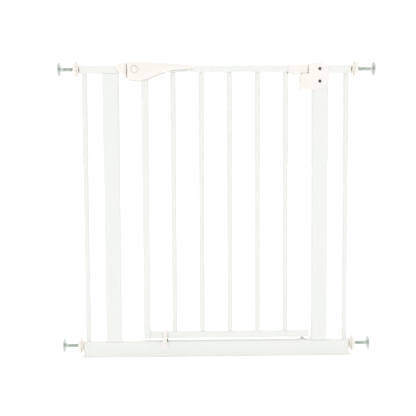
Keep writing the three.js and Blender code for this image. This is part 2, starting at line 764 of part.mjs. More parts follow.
// The torsion spring that holds the handle down, round the lever pin.
function leverSpringPiece() {
  const geometry = coil(leverSpring.radius, leverSpring.wire, leverSpring.turns, leverSpring.pitch);
  geometry.rotateX(-Math.PI / 2);
  geometry.translate(leverX, doorTube.size / 2 + leverSpring.wire + runGap, leverZ);
  return piece('lever_spring', geometry, 'spring');
}

// The spring behind the bolt, at its working length.
function boltSpringPiece() {
  const length = channelEnd - boltBack - 2 * (boltSpring.wire + runGap);
  const pitch = length / boltSpring.turns;
  const geometry = coil(boltSpring.radius, boltSpring.wire, boltSpring.turns, pitch);
  geometry.rotateY(Math.PI / 2);
  geometry.translate(boltBack + boltSpring.wire + runGap, 0, boltZ);
  return piece('bolt_spring', geometry, 'spring');
}

// The sliding bolt. Its nose is chamfered on both sides, so the door shuts from either side.
function latchBolt() {
  const half = bolt.size / 2;
  const shape = new THREE.Shape();
  shape.moveTo(boltTip + bolt.nose, -half);
  shape.lineTo(boltBack, -half);
  shape.lineTo(boltBack, half);
  shape.lineTo(boltTip + bolt.nose, half);
  shape.lineTo(boltTip, half - bolt.chamfer);
  shape.lineTo(boltTip, -half + bolt.chamfer);
  shape.closePath();
  const body = extrudeZ(shape, boltZ - half, boltZ + half);
  const room = drivePin.radius + drivePin.slack;
  const slot = block(
    leverX - room, leverX + room, -half - overrun, half + overrun, boltZ - room, boltZ + half + overrun);
  return piece('latch_bolt', cut(body, slot), 'plastic');
}

// ---------------------------------------------------------------- handle

function leafOutline() {
  const left = slitRight;
  const right = left + leaf.length;
  const top = frameHeight;
  const shape = new THREE.Shape();
  shape.moveTo(left, top - leaf.leftDrop);
  shape.bezierCurveTo(left + 9, top - leaf.drop + 0.4, left + 20, top - leaf.drop,
    left + 30, top - leaf.drop + 0.4);
  shape.bezierCurveTo(left + 56, top - leaf.drop + 2.6, left + 76, top - 18,
    left + 112, top - 12.4);
  shape.bezierCurveTo(left + 132, top - 9.2, right - 14, top - 8.2,
    right, top + leaf.tipBottom);
  shape.quadraticCurveTo(right + 1.6, (top + leaf.tipBottom + top + leaf.tipTop) / 2,
    right, top + leaf.tipTop);
  shape.bezierCurveTo(right - 46, top + 5, right - 92, top + leaf.rise - 1.6,
    left + 7, top + leaf.rise);
  shape.quadraticCurveTo(left, top + leaf.rise - 0.4, left, top + leaf.rise - 5);
  shape.closePath();
  return shape;
}

// The room inside the handle for the rail, the latch block and the pin's lug.
function leafRoom() {
  const right = slitRight + leaf.length + overrun;
  const low = block(
    slitRight - overrun, right, -plateInner, plateInner,
    frameHeight - 2 * leaf.drop, frameHeight + 2 * runGap);
  const top = frameHeight + leaf.rise - leafHollow.skin;
  const high = block(
    slitRight - overrun, slitRight + leafHollow.length, -plateInner, plateInner,
    frameHeight - overrun, top);
  return join(low, high);
}

function handleScrewPlaces() {
  const names = ['handle_screw_left', 'handle_screw_right'];
  return handleScrews.positions.map((offset, i) => ({
    name: names[i],
    x: slitRight + offset,
    z: frameHeight + handleScrews.above,
  }));
}

// One half of the handle: side is -1 for the front half and +1 for the rear half.
function handleShell(name, side) {
  const face = latchHalf;
  const ends = [side * face, side * weldGap].sort((a, b) => a - b);
  let body = extrudeY(leafOutline(), ends[0], ends[1]);
  const pinDepth = plateInner + lever.pinIntoPlate + runGap;
  const tools = [leafRoom()];
  tools.push(rodY(leverX, leverZ, -pinDepth, pinDepth, lever.pinRadius + runGap));
  const hole = handleScrews.radius + insertGap;
  for (const { x, z } of handleScrewPlaces()) {
    tools.push(rodY(x, z, -handleScrews.intoFront - runGap, face + overrun, hole));
    const seat = face - handleScrews.head;
    tools.push(rodY(x, z, seat, face + overrun, handleScrews.headRadius + runGap));
  }
  if (side < 0) {
    body = join(body, buttonCollar(face));
    tools.push(rodY(
      buttonX, buttonZ, -face - overrun, 0, button.radius + runGap, discSegments));
  } else {
    tools.push(rodY(
      leverX, boltZ, 0, plateInner + drivePin.intoPlate + insertGap, drivePin.radius + insertGap));
  }
  return piece(name, cut(body, ...tools), 'plastic');
}

function buttonCollar(face) {
  const radius = button.radius + button.collar + runGap;
  return rodY(buttonX, buttonZ, -face - button.collarProud, -face + joinLap, radius, discSegments);
}

function drivePinPiece() {
  const front = -doorTube.size / 2 - drivePin.proud;
  return piece(
    'drive_pin', rodY(leverX, boltZ, front, plateInner + drivePin.intoPlate, drivePin.radius),
    'zinc');
}

function handleScrew({ name, x, z }) {
  const face = latchHalf;
  const seat = face - handleScrews.head + weldGap;
  const head = rodY(x, z, seat, seat + handleScrews.head - runGap, handleScrews.headRadius);
  const shank = rodY(x, z, -handleScrews.intoFront, seat + joinLap, handleScrews.radius);
  return piece(name, join(head, shank), 'zinc');
}

// The round release button, domed at the front, pressed towards the back.
function lockButton() {
  const front = -latchHalf - button.proud;
  const back = -plateInner - runGap;
  const r = button.radius;
  const profile = [
    [0, front],
    [r * 0.55, front + 0.25],
    [r - 1.2, front + 0.8],
    [r, front + 1.9],
    [r, back],
    [0, back],
  ];
  const geometry = turnedY(profile, discSegments);
  geometry.translate(buttonX, 0, buttonZ);
  return piece('lock_button', geometry, 'button');
}

// ---------------------------------------------------------------- direction stop

function stopX() {
  return -postInner + stop.fromPassage;
}

// A swivel clip: a round boss on the threshold and an arm that stands in front of the door.
function directionStop() {
  const x = stopX();
  const z = stop.height;
  const tipZ = z + stop.armLength;
  const waistZ = z + stopArm.waistHeight;
  const tipX = x + stop.lean;
  const waistX = x + stopArm.waistLean;
  const startAngle = THREE.MathUtils.degToRad(150);
  const endAngle = THREE.MathUtils.degToRad(395);
  const shape = new THREE.Shape();
  shape.absarc(x, z, stop.bossRadius, startAngle, endAngle, false);
  shape.bezierCurveTo(
    x + 6.5, z + 9, waistX + stopArm.waist, waistZ - 7, waistX + stopArm.waist, waistZ);
  const tipSide = tipZ - stopArm.tipCorner;
  shape.bezierCurveTo(
    waistX + stopArm.waist, waistZ + 6, tipX + stopArm.tip, tipZ - 10, tipX + stopArm.tip, tipSide);
  shape.quadraticCurveTo(
    tipX + stopArm.tip, tipZ, tipX + stopArm.tip - stopArm.tipCorner, tipZ);
  shape.lineTo(tipX - stopArm.tip + stopArm.tipCorner, tipZ);
  shape.quadraticCurveTo(tipX - stopArm.tip, tipZ, tipX - stopArm.tip, tipSide);
  shape.bezierCurveTo(
    tipX - stopArm.tip, tipZ - 9, waistX - stopArm.waist, waistZ + 7, waistX - stopArm.waist, waistZ);
  shape.bezierCurveTo(
    waistX - stopArm.waist, waistZ - 6, x - 7, z + 12, x + stop.bossRadius * Math.cos(startAngle),
    z + stop.bossRadius * Math.sin(startAngle));
  const back = -frameDepth / 2 - runGap;
  const body = extrudeY(shape, back - stop.thickness, back);
  const front = back - stop.thickness;
  const bore = rodY(x, z, front - overrun, back + overrun, stopScrew.radius + runGap);
  const headRoom = rodY(x, z, front - overrun, front + stopScrew.head, stopScrew.headRadius + runGap);
  return piece('direction_stop', cut(body, bore, headRoom), 'plastic');
}

function stopScrewPiece() {
  const seat = -frameDepth / 2 - runGap - stop.thickness + stopScrew.head - runGap;
  const x = stopX();
  const head = rodY(x, stop.height, seat - stopScrew.head, seat, stopScrew.headRadius);
  const shank = rodY(x, stop.height, seat - joinLap, seat + stopScrew.length, stopScrew.radius);
  return piece('stop_screw', join(head, shank), 'zinc');
}

// ---------------------------------------------------------------- assembly

function buildFrame() {
  const group = new THREE.Group();
  group.add(thresholdRail());
  for (const [word, side] of [['left', -1], ['right', 1]]) {
    group.add(gatePost(`${word}_post`, side));
    group.add(topStub(`${word}_top_stub`, side));
    group.add(stubEndCap(`${word}_stub_cap`, side));
    group.add(outerBar(`${word}_outer_bar`, side));
  }
  group.add(catchShell('catch_front', -1), catchShell('catch_rear', 1));
  group.add(...catchScrewPlaces().map(catchScrewPiece));
  group.add(bracketShell('bracket_front', -1), bracketShell('bracket_rear', 1));
  group.add(...bracketScrewPlaces().map(bracketScrew));
  group.add(lowerPivotSocket());
  group.add(directionStop(), stopScrewPiece());
  return group;
}

function buildWallFixings() {
  const group = new THREE.Group();
  for (const [word, corner] of Object.entries(corners)) {
    group.add(endPlug(`${word}_plug`, corner));
    group.add(handNut(`${word}_nut`, corner));
    group.add(threadedSpindle(`${word}_spindle`, corner));
  }
  return group;
}

function buildDoor() {
  const group = new THREE.Group();
  group.add(doorStile(), doorTopRail(), doorBottomRail(), ...doorBars());
  group.add(doorRailCap(), stileCap());
  group.add(hingeSleeve(), sleeveScrewPiece(), upperHingePin(), lowerHingePin());
  group.add(latchHousing(), leverPin(), leverSpringPiece(), boltSpringPiece(), latchBolt());
  group.add(handleShell('handle_front', -1), handleShell('handle_rear', 1));
  group.add(drivePinPiece(), ...handleScrewPlaces().map(handleScrew));
  group.add(lockButton());
  return group;
}

const gate = new THREE.Group();
gate.add(buildFrame(), buildWallFixings(), buildDoor());
gate.position.x = -originX;

export default gate;
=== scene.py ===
from math import cos, dist, pi, radians, sin, sqrt, tau

import bmesh
import bpy
from mathutils import Matrix, Vector


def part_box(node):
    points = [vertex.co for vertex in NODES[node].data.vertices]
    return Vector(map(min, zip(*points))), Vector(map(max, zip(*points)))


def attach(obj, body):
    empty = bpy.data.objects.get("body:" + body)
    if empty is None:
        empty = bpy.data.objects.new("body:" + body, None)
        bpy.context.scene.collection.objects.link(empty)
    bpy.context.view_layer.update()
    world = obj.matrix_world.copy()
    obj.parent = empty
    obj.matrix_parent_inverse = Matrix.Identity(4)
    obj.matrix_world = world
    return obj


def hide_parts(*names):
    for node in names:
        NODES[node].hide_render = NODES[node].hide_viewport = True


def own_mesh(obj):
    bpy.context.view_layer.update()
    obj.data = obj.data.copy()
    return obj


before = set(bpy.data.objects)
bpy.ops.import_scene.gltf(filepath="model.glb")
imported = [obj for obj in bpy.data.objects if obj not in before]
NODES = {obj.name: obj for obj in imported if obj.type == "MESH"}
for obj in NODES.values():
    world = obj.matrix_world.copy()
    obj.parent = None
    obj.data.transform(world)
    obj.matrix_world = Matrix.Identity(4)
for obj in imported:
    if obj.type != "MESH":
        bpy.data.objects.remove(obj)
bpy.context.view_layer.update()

# Modelling below is in millimetres of the row frame; meshes are written in metres.
MM = 0.001
SMOOTH_ANGLE = radians(38)
# The gap kept to a touching piece, and half the gap between two shells.
GAP = 0.05


def box(node):
    """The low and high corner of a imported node, in millimetres."""
    low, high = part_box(node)
    return low / MM, high / MM


def seat_of(node):
    """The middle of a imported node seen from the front, as (x, z)."""
    low, high = box(node)
    return ((low.x + high.x) / 2, (low.z + high.z) / 2)


# ------------ materials

def new_node(tree, kind, links, **values):
    """A node with its incoming links and socket values, underscores standing for spaces."""
    node = tree.nodes.new(kind)
    for socket, value in values.items():
        node.inputs[socket.replace("_", " ")].default_value = value
    for socket, output in links.items():
        tree.links.new(output, node.inputs[socket])
    return node


class Shader:
    """A small helper round one material's node tree."""

    def __init__(self, name):
        self.material = bpy.data.materials.new(name)
        self.material.use_nodes = True
        self.tree = self.material.node_tree
        self.bsdf = self.tree.nodes["Principled BSDF"]
        self.coordinates = self.tree.nodes.new("ShaderNodeTexCoord").outputs["Object"]

    def set(self, **values):
        for socket, value in values.items():
            self.bsdf.inputs[socket.replace("_", " ")].default_value = value

    def link(self, output, socket):
        self.tree.links.new(output, self.bsdf.inputs[socket])

    def node(self, kind, links, output, **values):
        return new_node(self.tree, kind, links, **values).outputs[output]

    def stretched(self, scale):
        """Object coordinates stretched by their own scale on each axis."""
        return self.node("ShaderNodeMapping", {"Vector": self.coordinates}, "Vector", Scale=scale)

    def noise(self, scale, detail=2.0, roughness=0.5, vector=None):
        links = {"Vector": vector or self.coordinates}
        return self.node("ShaderNodeTexNoise", links, "Fac", Scale=scale, Detail=detail,
                         Roughness=roughness)

    def cells(self, scale):
        links = {"Vector": self.coordinates}
        return self.node("ShaderNodeTexVoronoi", links, "Distance", Scale=scale)

    def remap(self, value, low, high, start=0.3, end=0.7):
        """Maps start to end of a value onto low to high."""
        return self.node("ShaderNodeMapRange", {"Value": value}, "Result", From_Min=start,
                         From_Max=end, To_Min=low, To_Max=high)

    def blend(self, factor, first, second):
        node = self.tree.nodes.new("ShaderNodeMix")
        node.data_type = "RGBA"
        self.tree.links.new(factor, node.inputs["Factor"])
        for socket, colour in (("A", first), ("B", second)):
            slot = [s for s in node.inputs if s.name == socket and s.type == "RGBA"][0]
            if isinstance(colour, tuple):
                slot.default_value = (*colour, 1.0)
            else:
                self.tree.links.new(colour, slot)
        return [s for s in node.outputs if s.type == "RGBA"][0]

    def bump(self, height, distance, strength, normal=None):
        links = {"Height": height, "Normal": normal} if normal else {"Height": height}
        return self.node("ShaderNodeBump", links, "Normal", Distance=distance, Strength=strength)


def powder_coat():
    """Semi-gloss white powder coat: a soft orange-peel skin with fine specks."""
    look = Shader("powder_coat")
    drift = look.remap(look.noise(scale=9, detail=3), low=0.0, high=1.0)
    specks = look.remap(look.noise(scale=1400, detail=1), low=0.0, high=1.0, start=0.62, end=0.78)
    base = look.blend(drift, (0.848, 0.864, 0.830), (0.868, 0.878, 0.850))
    look.link(look.blend(specks, base, (0.79, 0.81, 0.77)), "Base Color")
    look.link(look.remap(look.noise(scale=420), low=0.34, high=0.46), "Roughness")
    peel = look.bump(look.noise(scale=620, detail=1.5), distance=0.00022, strength=0.32)
    waves = look.noise(scale=70, detail=1)
    look.link(look.bump(waves, distance=0.0006, strength=0.10, normal=peel), "Normal")
    look.set(IOR=1.5, Coat_Weight=0.12, Coat_Roughness=0.25)
    return look.material


def moulded_plastic(name, dark, light, roughness):
    """Injection-moulded plastic with a fine spark-eroded grain and faint flow clouds."""
    look = Shader(name)
    clouds = look.remap(look.noise(scale=22, detail=4, roughness=0.6), low=0.0, high=1.0)
    look.link(look.blend(clouds, dark, light), "Base Color")
    patches = look.noise(scale=300, detail=3)
    look.link(look.remap(patches, low=roughness - 0.05, high=roughness + 0.06), "Roughness")
    grain = look.bump(look.noise(scale=2600, roughness=0.6), distance=0.00006, strength=0.5)
    waves = look.noise(scale=120, detail=1)
    look.link(look.bump(waves, distance=0.0003, strength=0.06, normal=grain), "Normal")
    look.set(IOR=1.49, Subsurface_Weight=0.06, Subsurface_Radius=(0.0022, 0.0018, 0.0013),
             Subsurface_Scale=1.0)
    return look.material


def plated_steel(name, dark, light, roughness, lines, depth):
    """Plated steel: crystalline tone changes and turning marks along one direction."""
    look = Shader(name)
    crystals = look.remap(look.noise(scale=160, detail=4, roughness=0.7), low=0.0, high=1.0)
    look.link(look.blend(crystals, dark, light), "Base Color")
    marks = look.noise(scale=1.0, detail=3, roughness=0.7, vector=look.stretched(lines))
    look.link(look.remap(marks, low=roughness - 0.08, high=roughness + 0.10), "Roughness")
    turned = look.bump(marks, distance=depth, strength=0.35)
    flecks = look.cells(scale=700)
    look.link(look.bump(flecks, distance=0.00008, strength=0.15, normal=turned), "Normal")
    look.set(Metallic=1.0)
    return look.material


MATERIALS = {"powder_coat": powder_coat()}
for name, dark, light, roughness in (
        ("white_plastic", (0.908, 0.872, 0.828), (0.928, 0.894, 0.856), 0.38),
        ("button_plastic", (0.900, 0.878, 0.840), (0.920, 0.900, 0.866), 0.30)):
    MATERIALS[name] = moulded_plastic(name, dark, light, roughness)
for name, dark, light, roughness, lines, depth in (
        ("zinc_steel", (0.53, 0.60, 0.56), (0.64, 0.68, 0.64), 0.34, (900, 60, 60), 0.00004),
        ("dark_screw", (0.070, 0.100, 0.086), (0.115, 0.145, 0.126), 0.36, (60, 900, 60), 0.00003),
        ("spring_steel", (0.52, 0.53, 0.53), (0.60, 0.61, 0.61), 0.26, (700, 700, 90), 0.00003)):
    MATERIALS[name] = plated_steel(name, dark, light, roughness, lines, depth)

# ------------ mesh helpers

# The largest share of an edge that a rounded corner takes.
CORNER_SHARE = 0.48
# Points of an outline closer than this are one point.
SAME_POINT = 0.02
# Keeps the point at a sharp corner from running away when a loop moves inwards.
LEAST_LEAN = 0.5
NO_LENGTH = 1e-6
LEAST_CORNER = 0.3
# The radius at which a turned face closes on its axis.
AXIS = 0.01
# The straight part before a drilled hole's rounded mouth, and the mouth's steps.
MOUTH, MOUTH_STEPS = 1.0, 4


def finish_mesh(mesh):
    """Recalculates outward normals and shades smooth except at real corners."""
    work = bmesh.new()
    work.from_mesh(mesh)
    bmesh.ops.recalc_face_normals(work, faces=work.faces)
    work.to_mesh(mesh)
    work.free()
    mesh.shade_smooth()
    mesh.set_sharp_from_angle(angle=SMOOTH_ANGLE)


def piece_from(name, points, faces):
    """An object in metres from points in millimetres."""
    mesh = bpy.data.meshes.new(name)
    mesh.from_pydata([tuple(c * MM for c in p) for p in points], [], faces)
    mesh.update()
    finish_mesh(mesh)
    made = bpy.data.objects.new(name, mesh)
    bpy.context.scene.collection.objects.link(made)
    return made


def loft(name, loops, closed_along=False):
    """Skins a row of loops of equal length. The two ends are capped unless the row closes."""
    count = len(loops[0])
    points = [p for loop in loops for p in loop]
    faces = []
    rows = len(loops) - (0 if closed_along else 1)
    for i in range(rows):
        a = i * count
        b = ((i + 1) % len(loops)) * count
        for j in range(count):
            k = (j + 1) % count
            faces.append((a + j, a + k, b + k, b + j))
    if not closed_along:
        faces.append(tuple(range(count - 1, -1, -1)))
        faces.append(tuple(range(len(points) - count, len(points))))
    return piece_from(name, points, faces)


def placed(axis, u, v, along):
    """A point from its two section coordinates and its place along an axis."""
    if axis == "x":
        return (along, u, v)
    if axis == "y":
        return (u, along, v)
    return (u, v, along)


def lathe(name, profile, axis, centre, segments=48, ripple=None, ring=False):
    """Turns (radius, height) pairs about an axis. A ring profile's last pair joins its first."""
    loops = []
    for radius, height in profile:
        loop = []
        for k in range(segments):
            angle = tau * k / segments
            r = ripple(angle, radius) if ripple else radius
            loop.append(placed(
                axis, centre[0] + r * cos(angle), centre[1] + r * sin(angle), height))
        loops.append(loop)
    return loft(name, loops, closed_along=ring)


def fillet(profile, radii, steps=5):
    """Rounds the corners of an open profile of pairs; radii gives a radius for each point."""
    rounded = []
    last = len(profile) - 1
    for i, point in enumerate(profile):
        radius = radii[i] if i < len(radii) else 0
        if i in (0, last) or radius <= 0:
            rounded.append(tuple(point))
            continue
        here = Vector(point)
        back = Vector(profile[i - 1]) - here
        ahead = Vector(profile[i + 1]) - here
        reach = min(radius, back.length * CORNER_SHARE, ahead.length * CORNER_SHARE)
        start = here + back.normalized() * reach
        end = here + ahead.normalized() * reach
        for s in range(steps + 1):
            t = s / steps
            p = start * (1 - t) ** 2 + here * 2 * t * (1 - t) + end * t ** 2
            rounded.append((p.x, p.y))
    return rounded


def rounded_rectangle(cu, cv, width, height, radius, steps=6):
    """A loop round a rectangle about a middle, anticlockwise."""
    loop = []
    corners = [(1, 1, 0), (-1, 1, 90), (-1, -1, 180), (1, -1, 270)]
    for su, sv, start in corners:
        u = cu + su * (width / 2 - radius)
        v = cv + sv * (height / 2 - radius)
        for s in range(steps + 1):
            angle = radians(start + 90 * s / steps)
            loop.append((u + radius * cos(angle), v + radius * sin(angle)))
    return loop


def section_of(axis, low, high):
    """The middle and size of a box across an axis, and its two ends along it."""
    order = {"x": (1, 2, 0), "y": (0, 2, 1), "z": (0, 1, 2)}[axis]
    u, v, w = order
    middle = ((low[u] + high[u]) / 2, (low[v] + high[v]) / 2)
    return middle, (high[u] - low[u], high[v] - low[v]), (low[w], high[w])


def square_tube(name, axis, low, high, corner, wall, lip=0.35):
    """A hollow rectangular tube along an axis, with its sawn ends' edges eased."""
    (cu, cv), (width, height), (start, end) = section_of(axis, low, high)

    def ring(back, along):
        radius = max(corner - back, LEAST_CORNER)
        loop = rounded_rectangle(cu, cv, width - 2 * back, height - 2 * back, radius)
        return [placed(axis, u, v, along) for u, v in loop]

    loops = [
        ring(wall, start + lip), ring(wall - lip, start), ring(lip, start), ring(0, start + lip),
        ring(0, end - lip), ring(lip, end), ring(wall - lip, end), ring(wall, end - lip),
    ]
    return loft(name, loops, closed_along=True)


class Outline:
    """Collects the points of a closed outline drawn with lines and curves."""

    def __init__(self, u, v):
        self.points = [(u, v)]

    def line(self, u, v):
        self.points.append((u, v))
        return self

    def curve(self, u1, v1, u2, v2, u, v, steps=22):
        """A cubic curve to (u, v) with two handles."""
        u0, v0 = self.points[-1]
        for s in range(1, steps + 1):
            t = s / steps
            a, b, c, d = (1 - t) ** 3, 3 * t * (1 - t) ** 2, 3 * t * t * (1 - t), t ** 3
            self.points.append((a * u0 + b * u1 + c * u2 + d * u, a * v0 + b * v1 + c * v2 + d * v))
        return self

    def bend(self, u1, v1, u, v, steps=8):
        """A quadratic curve to (u, v) with one handle."""
        u0, v0 = self.points[-1]
        for s in range(1, steps + 1):
            t = s / steps
            a, b, c = (1 - t) ** 2, 2 * t * (1 - t), t * t
            self.points.append((a * u0 + b * u1 + c * u, a * v0 + b * v1 + c * v))
        return self

    def arc(self, cu, cv, radius, start, end, steps=24):
        """An arc about (cu, cv) between two angles in degrees."""
        for s in range(steps + 1):
            angle = radians(start + (end - start) * s / steps)
            self.points.append((cu + radius * cos(angle), cv + radius * sin(angle)))
        return self

    def loop(self):
        """The points without repeats, anticlockwise."""
        kept = []
        for p in self.points:
            if not kept or dist(p, kept[-1]) > SAME_POINT:
                kept.append(p)
        if dist(kept[0], kept[-1]) <= SAME_POINT:
            kept.pop()
        area = sum(a[0] * b[1] - b[0] * a[1] for a, b in zip(kept, kept[1:] + kept[:1]))
        return kept if area > 0 else kept[::-1]


def inset(loop, distance):
    """Moves an anticlockwise loop inwards."""
    moved = []
    for i, here in enumerate(loop):
        here = Vector(here)
        back = (here - Vector(loop[i - 1])).normalized()
        ahead = (Vector(loop[(i + 1) % len(loop)]) - here).normalized()
        normal = Vector((-back.y - ahead.y, back.x + ahead.x))
        if normal.length < NO_LENGTH:
            normal = Vector((-back.y, back.x))
        normal.normalize()
        lean = max(normal.dot(Vector((-back.y, back.x))), LEAST_LEAN)
        moved.append(tuple(here + normal * (distance / lean)))
    return moved


def moulding(name, loop, axis, start, end, start_round, end_round, steps=5):
    """A prism along an axis whose two rims are rounded by their own radii."""
    loops = []
    direction = 1 if end > start else -1
    rows = [(start_round * (1 - sin(pi / 2 * s / steps)),
             start + direction * start_round * (1 - cos(pi / 2 * s / steps)))
            for s in range(steps + 1)]
    rows += [(end_round * (1 - cos(pi / 2 * s / steps)),
              end - direction * end_round * (1 - sin(pi / 2 * s / steps)))
             for s in range(steps + 1)]
    for depth, along in rows:
        shifted = inset(loop, depth) if depth > NO_LENGTH else loop
        loops.append([placed(axis, u, v, along) for u, v in shifted])
    return loft(name, loops)


def bake(piece):
    """Applies a piece's modifiers."""
    depsgraph = bpy.context.evaluated_depsgraph_get()
    mesh = bpy.data.meshes.new_from_object(piece.evaluated_get(depsgraph))
    piece.modifiers.clear()
    old = piece.data
    piece.data = mesh
    mesh.name = piece.name
    bpy.data.meshes.remove(old)


def combine(piece, tools, operation):
    """Joins or cuts a piece with tools, which are used up."""
    for tool in tools:
        step = piece.modifiers.new(operation.lower(), "BOOLEAN")
        step.operation = operation
        step.solver = "EXACT"
        step.object = tool
    bpy.context.view_layer.update()
    bake(piece)
    for tool in tools:
        mesh = tool.data
        bpy.data.objects.remove(tool)
        bpy.data.meshes.remove(mesh)
    tidy_mesh(piece)
    return piece


def tidy_mesh(piece):
    """Merges doubled points and removes faces without area, both by a distance in metres."""
    doubled, degenerate = 2e-7, 1e-7
    work = bmesh.new()
    work.from_mesh(piece.data)
    bmesh.ops.remove_doubles(work, verts=work.verts, dist=doubled)
    bmesh.ops.dissolve_degenerate(work, edges=work.edges, dist=degenerate)
    work.to_mesh(piece.data)
    work.free()
    finish_mesh(piece.data)


def cut(piece, *tools):
    return combine(piece, tools, "DIFFERENCE")


def add(piece, *tools):
    return combine(piece, tools, "UNION")


def block(x0, x1, y0, y1, z0, z1):
    """A cutting block."""
    points = [(x, y, z) for x in (x0, x1) for y in (y0, y1) for z in (z0, z1)]
    faces = [(0, 1, 3, 2), (4, 6, 7, 5), (0, 4, 5, 1), (2, 3, 7, 6), (0, 2, 6, 4), (1, 5, 7, 3)]
    return piece_from("tool", points, faces)


def drill(axis, centre, start, end, radius, lip=0.0, segments=40):
    """A cutting cylinder, flared by lip at its start to round the hole's mouth."""
    ahead = 1 if end > start else -1
    profile = [(radius + lip, start)]
    if lip:
        for s in range(MOUTH_STEPS + 1):
            angle = pi / 2 * s / MOUTH_STEPS
            profile.append((radius + lip * (1 - sin(angle)),
                            start + ahead * MOUTH + ahead * lip * (1 - cos(angle))))
    profile.append((radius, end))
    return lathe("tool", profile, axis, centre, segments)


def screw_well(place, mouth, depth, foot, head_radius, hole_radius):
    """A cutting tool for a screw from the back: a recess with a softened mouth, then its hole."""
    # How much wider than the head the mouth is, and how far below the face.
    softened = [(0.4, -1.0), (0.4, 0.05), (0.1, 0.25), (0.0, 0.55)]
    profile = [(head_radius + wider, mouth - below) for wider, below in softened]
    profile += [(head_radius, mouth - depth), (hole_radius, mouth - depth), (hole_radius, foot)]
    return lathe("tool", profile, "y", place, 36)


def hex_socket(centre, start, end, across):
    """A cutting prism with six sides along Y."""
    radius = across / sqrt(3)
    corners = [pi / 3 * k for k in range(6)]
    loops = [[placed("y", centre[0] + radius * cos(angle),
                     centre[1] + radius * sin(angle), along) for angle in corners]
             for along in (start, end)]
    return loft("tool", loops)


def dress(piece, body, slot, *replaced):
    """Gives a finished piece its weighted normals and material, hangs it under its body, and hides
    the imported nodes it stands in for.
    """
    weighted = piece.modifiers.new("weighted_normals", "WEIGHTED_NORMAL")
    weighted.keep_sharp = True
    piece.data.materials.clear()
    piece.data.materials.append(MATERIALS[slot])
    for polygon in piece.data.polygons:
        polygon.material_index = 0
    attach(piece, body)
    if replaced:
        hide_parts(*replaced)
    return piece


# ------------ anchors

left_post = box("left_post")
right_post = box("right_post")
frame_top = box("right_top_stub")[1].z
post_depth = right_post[1].y
threshold_top = box("threshold_rail")[1].z
handle_box = box("handle_rear")
bracket_box = box("bracket_rear")
catch_box = box("catch_rear")
sleeve_box = box("hinge_sleeve")
top_rail = box("door_top_rail")
bottom_rail = box("door_bottom_rail")
hinge = (seat_of("upper_hinge_pin")[0], 0.0)

# ------------ steel tubes

TUBE_WALL = 1.5
# Each tube's node, direction, body and corner radius.
TUBES = [
    ("threshold_rail", "x", "frame", 2.6), ("left_post", "z", "frame", 3.2),
    ("right_post", "z", "frame", 3.2), ("left_top_stub", "x", "frame", 2.2),
    ("right_top_stub", "x", "frame", 2.2), ("door_stile", "z", "door", 1.9),
    ("door_top_rail", "x", "door", 1.9), ("door_bottom_rail", "x", "door", 1.9),
]
# Radii of the holes in the tubes, and how far their cutters reach past a wall.
BAR_HOLE, PIVOT_HOLE, PIN_HOLE, STOP_HOLE, BOLT_HOLE = 6.6, 6.5, 4.15, 2.15, 2.3
PAST_BELOW, PAST_BAR_WALL, PAST_PIN_WALL, PAST_TOP = 2, 3, 4, 6
FRONT_WALL, BOTH_WALLS = (-16, -5), (-20, 20)


def bar_holes(bars, rail_bottom):
    """Punched holes in a rail's underside, a little wider than the bars' necks."""
    return [drill("z", (seat_of(bar)[0], 0.0), rail_bottom - PAST_BELOW,
                  rail_bottom + PAST_BAR_WALL, BAR_HOLE) for bar in bars]


DOOR_BARS = [f"door_bar_{k}" for k in range(1, 6)]
for node, axis, body, corner in TUBES:
    tube = square_tube(f"{node}_tube", axis, *box(node), corner, TUBE_WALL)
    tools = []
    if node == "threshold_rail":
        through = (threshold_top - PAST_TOP, threshold_top + PAST_TOP)
        tools.append(drill("z", hinge, *through, PIVOT_HOLE))
        tools.append(drill("y", seat_of("stop_screw"), *FRONT_WALL, STOP_HOLE))
    if node == "door_bottom_rail":
        through = (bottom_rail[0].z - PAST_BELOW, bottom_rail[0].z + PAST_PIN_WALL)
        tools.append(drill("z", hinge, *through, PIN_HOLE))
    if node == "door_top_rail":
        tools += bar_holes(DOOR_BARS, top_rail[0].z)
    if node == "left_top_stub":
        tools += bar_holes(["left_outer_bar"], box(node)[0].z)
    if node == "right_top_stub":
        tools += bar_holes(["right_outer_bar"], box(node)[0].z)
    for screw_node, tube_node in (("bracket_screw_upper", "right_top_stub"),
                                  ("bracket_screw_lower", "right_post")):
        if node == tube_node:
            tools.append(drill("y", seat_of(screw_node), *BOTH_WALLS, BOLT_HOLE))
    if tools:
        tube = cut(tube, *tools)
    dress(tube, body, "powder_coat", node)


# A weld's section: how far it stands out from the tube, and how far it reaches along it.
WELD_SECTION = [(-0.3, 0.0), (1.5, 0.0), (1.35, 0.22), (0.75, 0.45), (0.38, 0.85), (0.12, 1.4),
                (0.0, 1.9), (-0.3, 1.9)]
# How a weld fades: the distance from its end, and the share of its full size there.
WELD_FADE = [(0.0, 0.35), (0.35, 0.8), (1.0, 1.0)]
POST_WELD_SHORTER, STILE_WELD = 5, 11


def weld_bead(name, x, z, side, up, length, body):
    """A concave fillet along one side of a tube's end; side and up say which way it faces."""
    half = length / 2
    rows = [(-half + back, share) for back, share in WELD_FADE]
    rows += [(half - back, share) for back, share in reversed(WELD_FADE)]
    loops = [[(x + side * u * share, y, z + up * v * share) for u, v in WELD_SECTION]
             for y, share in rows]
    dress(loft(name, loops), body, "powder_coat")


for word, (low, high) in (("left", left_post), ("right", right_post)):
    for edge, side, x in (("outer" if word == "left" else "inner", -1, low.x),
                          ("inner" if word == "left" else "outer", 1, high.x)):
        length = 2 * post_depth - POST_WELD_SHORTER
        weld_bead(f"{word}_post_foot_weld_{edge}", x, low.z, side, 1, length, "frame")
        if edge == "outer":
            weld_bead(f"{word}_post_head_weld_{edge}", x, high.z, side, -1, length, "frame")
stile_edge = box("door_stile")[1].x
weld_bead("door_stile_weld", stile_edge, top_rail[0].z - GAP, 1, -1, STILE_WELD, "door")
weld_bead("door_stile_foot_weld", stile_edge, bottom_rail[1].z + 0.02, 1, 1, STILE_WELD, "door")


